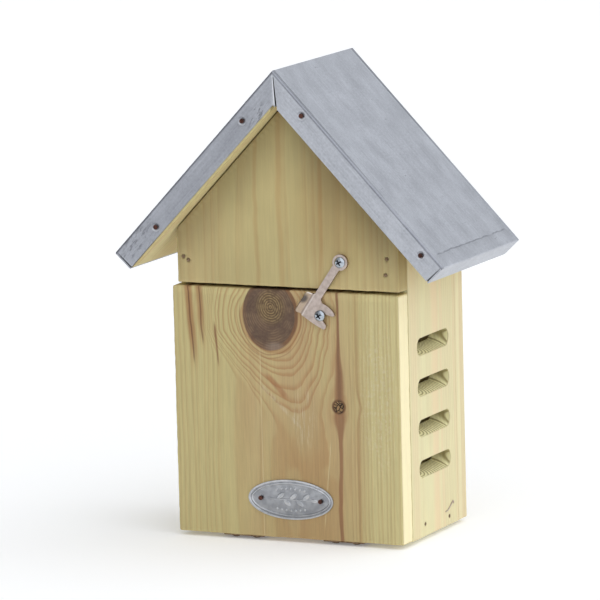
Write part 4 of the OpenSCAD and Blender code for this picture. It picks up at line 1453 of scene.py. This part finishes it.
# %% Stage, light and camera
bpy.ops.mesh.primitive_plane_add(size=60.0, location=(0.0, 0.0, 0.0))
ground = newest("floor")
paint = Finish("pale_floor")
paint.surface(Base_Color=(0.95, 0.95, 0.95, 1.0), Roughness=0.8, Specular_IOR_Level=0.1,
              Emission_Color=(1.0, 1.0, 1.0, 1.0), Emission_Strength=0.17)
finish_piece(ground, paint.material)

scene = bpy.context.scene
world = bpy.data.worlds.new("soft_sky")
world.use_nodes = True
sky_tree = world.node_tree
sky_place = sky_tree.nodes.new("ShaderNodeTexCoord")
sky_turn = sky_tree.nodes.new("ShaderNodeVectorMath")
sky_turn.operation = "DOT_PRODUCT"
sky_turn.inputs[1].default_value = (0.80, -0.05, 0.60)
sky_band = sky_tree.nodes.new("ShaderNodeMapRange")
sky_band.inputs["From Min"].default_value = -0.9
sky_band.inputs["From Max"].default_value = 0.9
sky_band.inputs["To Min"].default_value = 0.10
sky_band.inputs["To Max"].default_value = 0.86
sky_tree.links.new(sky_place.outputs["Generated"], sky_turn.inputs[0])
sky_tree.links.new(sky_turn.outputs["Value"], sky_band.inputs["Value"])
sky_tree.links.new(sky_band.outputs[0], sky_tree.nodes["Background"].inputs[1])
sky_tree.nodes["Background"].inputs[0].default_value = (0.95, 0.97, 1.0, 1.0)
scene.world = world


def aim(obj, place, target):
    """Turns a light at this place towards a target."""
    obj.location = place
    obj.rotation_euler = (Vector(target) - Vector(place)).to_track_quat("-Z", "Y").to_euler()


bpy.ops.object.light_add(type="SUN")
sun = bpy.context.object
sun.data.energy = 1.3
sun.data.angle = math.radians(110.0)
sun.data.color = (0.97, 0.985, 1.0)
aim(sun, (0.68, -0.15, 0.72), (0.0, 0.0, 0.0))
bpy.ops.object.light_add(type="AREA")
panel = bpy.context.object
panel.data.shape = "RECTANGLE"
panel.data.size = 2.2
panel.data.size_y = 1.6
panel.data.energy = 2.0
panel.data.color = (1.0, 0.98, 0.95)
aim(panel, (-1.2, -2.6, 1.4), (0.0, 0.0, 0.14))

AZIMUTH = math.radians(25.31)
ELEVATION = math.radians(9.358)
ROLL = math.radians(-1.465)
TARGET = Vector((0.0086, -0.0435, 0.1401))
DISTANCE = 3.2334
LENS = 344.1
away = Vector((math.sin(AZIMUTH) * math.cos(ELEVATION), -math.cos(AZIMUTH) * math.cos(ELEVATION),
               math.sin(ELEVATION)))
bpy.ops.object.camera_add()
camera = bpy.context.object
turn = (Matrix.Rotation(AZIMUTH, 4, "Z") @ Matrix.Rotation(math.pi / 2 - ELEVATION, 4, "X")
        @ Matrix.Rotation(ROLL, 4, "Z"))
camera.matrix_world = Matrix.Translation(TARGET + away * DISTANCE) @ turn
camera.data.sensor_width = 36.0
camera.data.lens = LENS
scene.camera = camera
scene.view_settings.view_transform = "Standard"
scene.view_settings.look = "None"
print("camera at", [round(v, 3) for v in camera.matrix_world.translation])
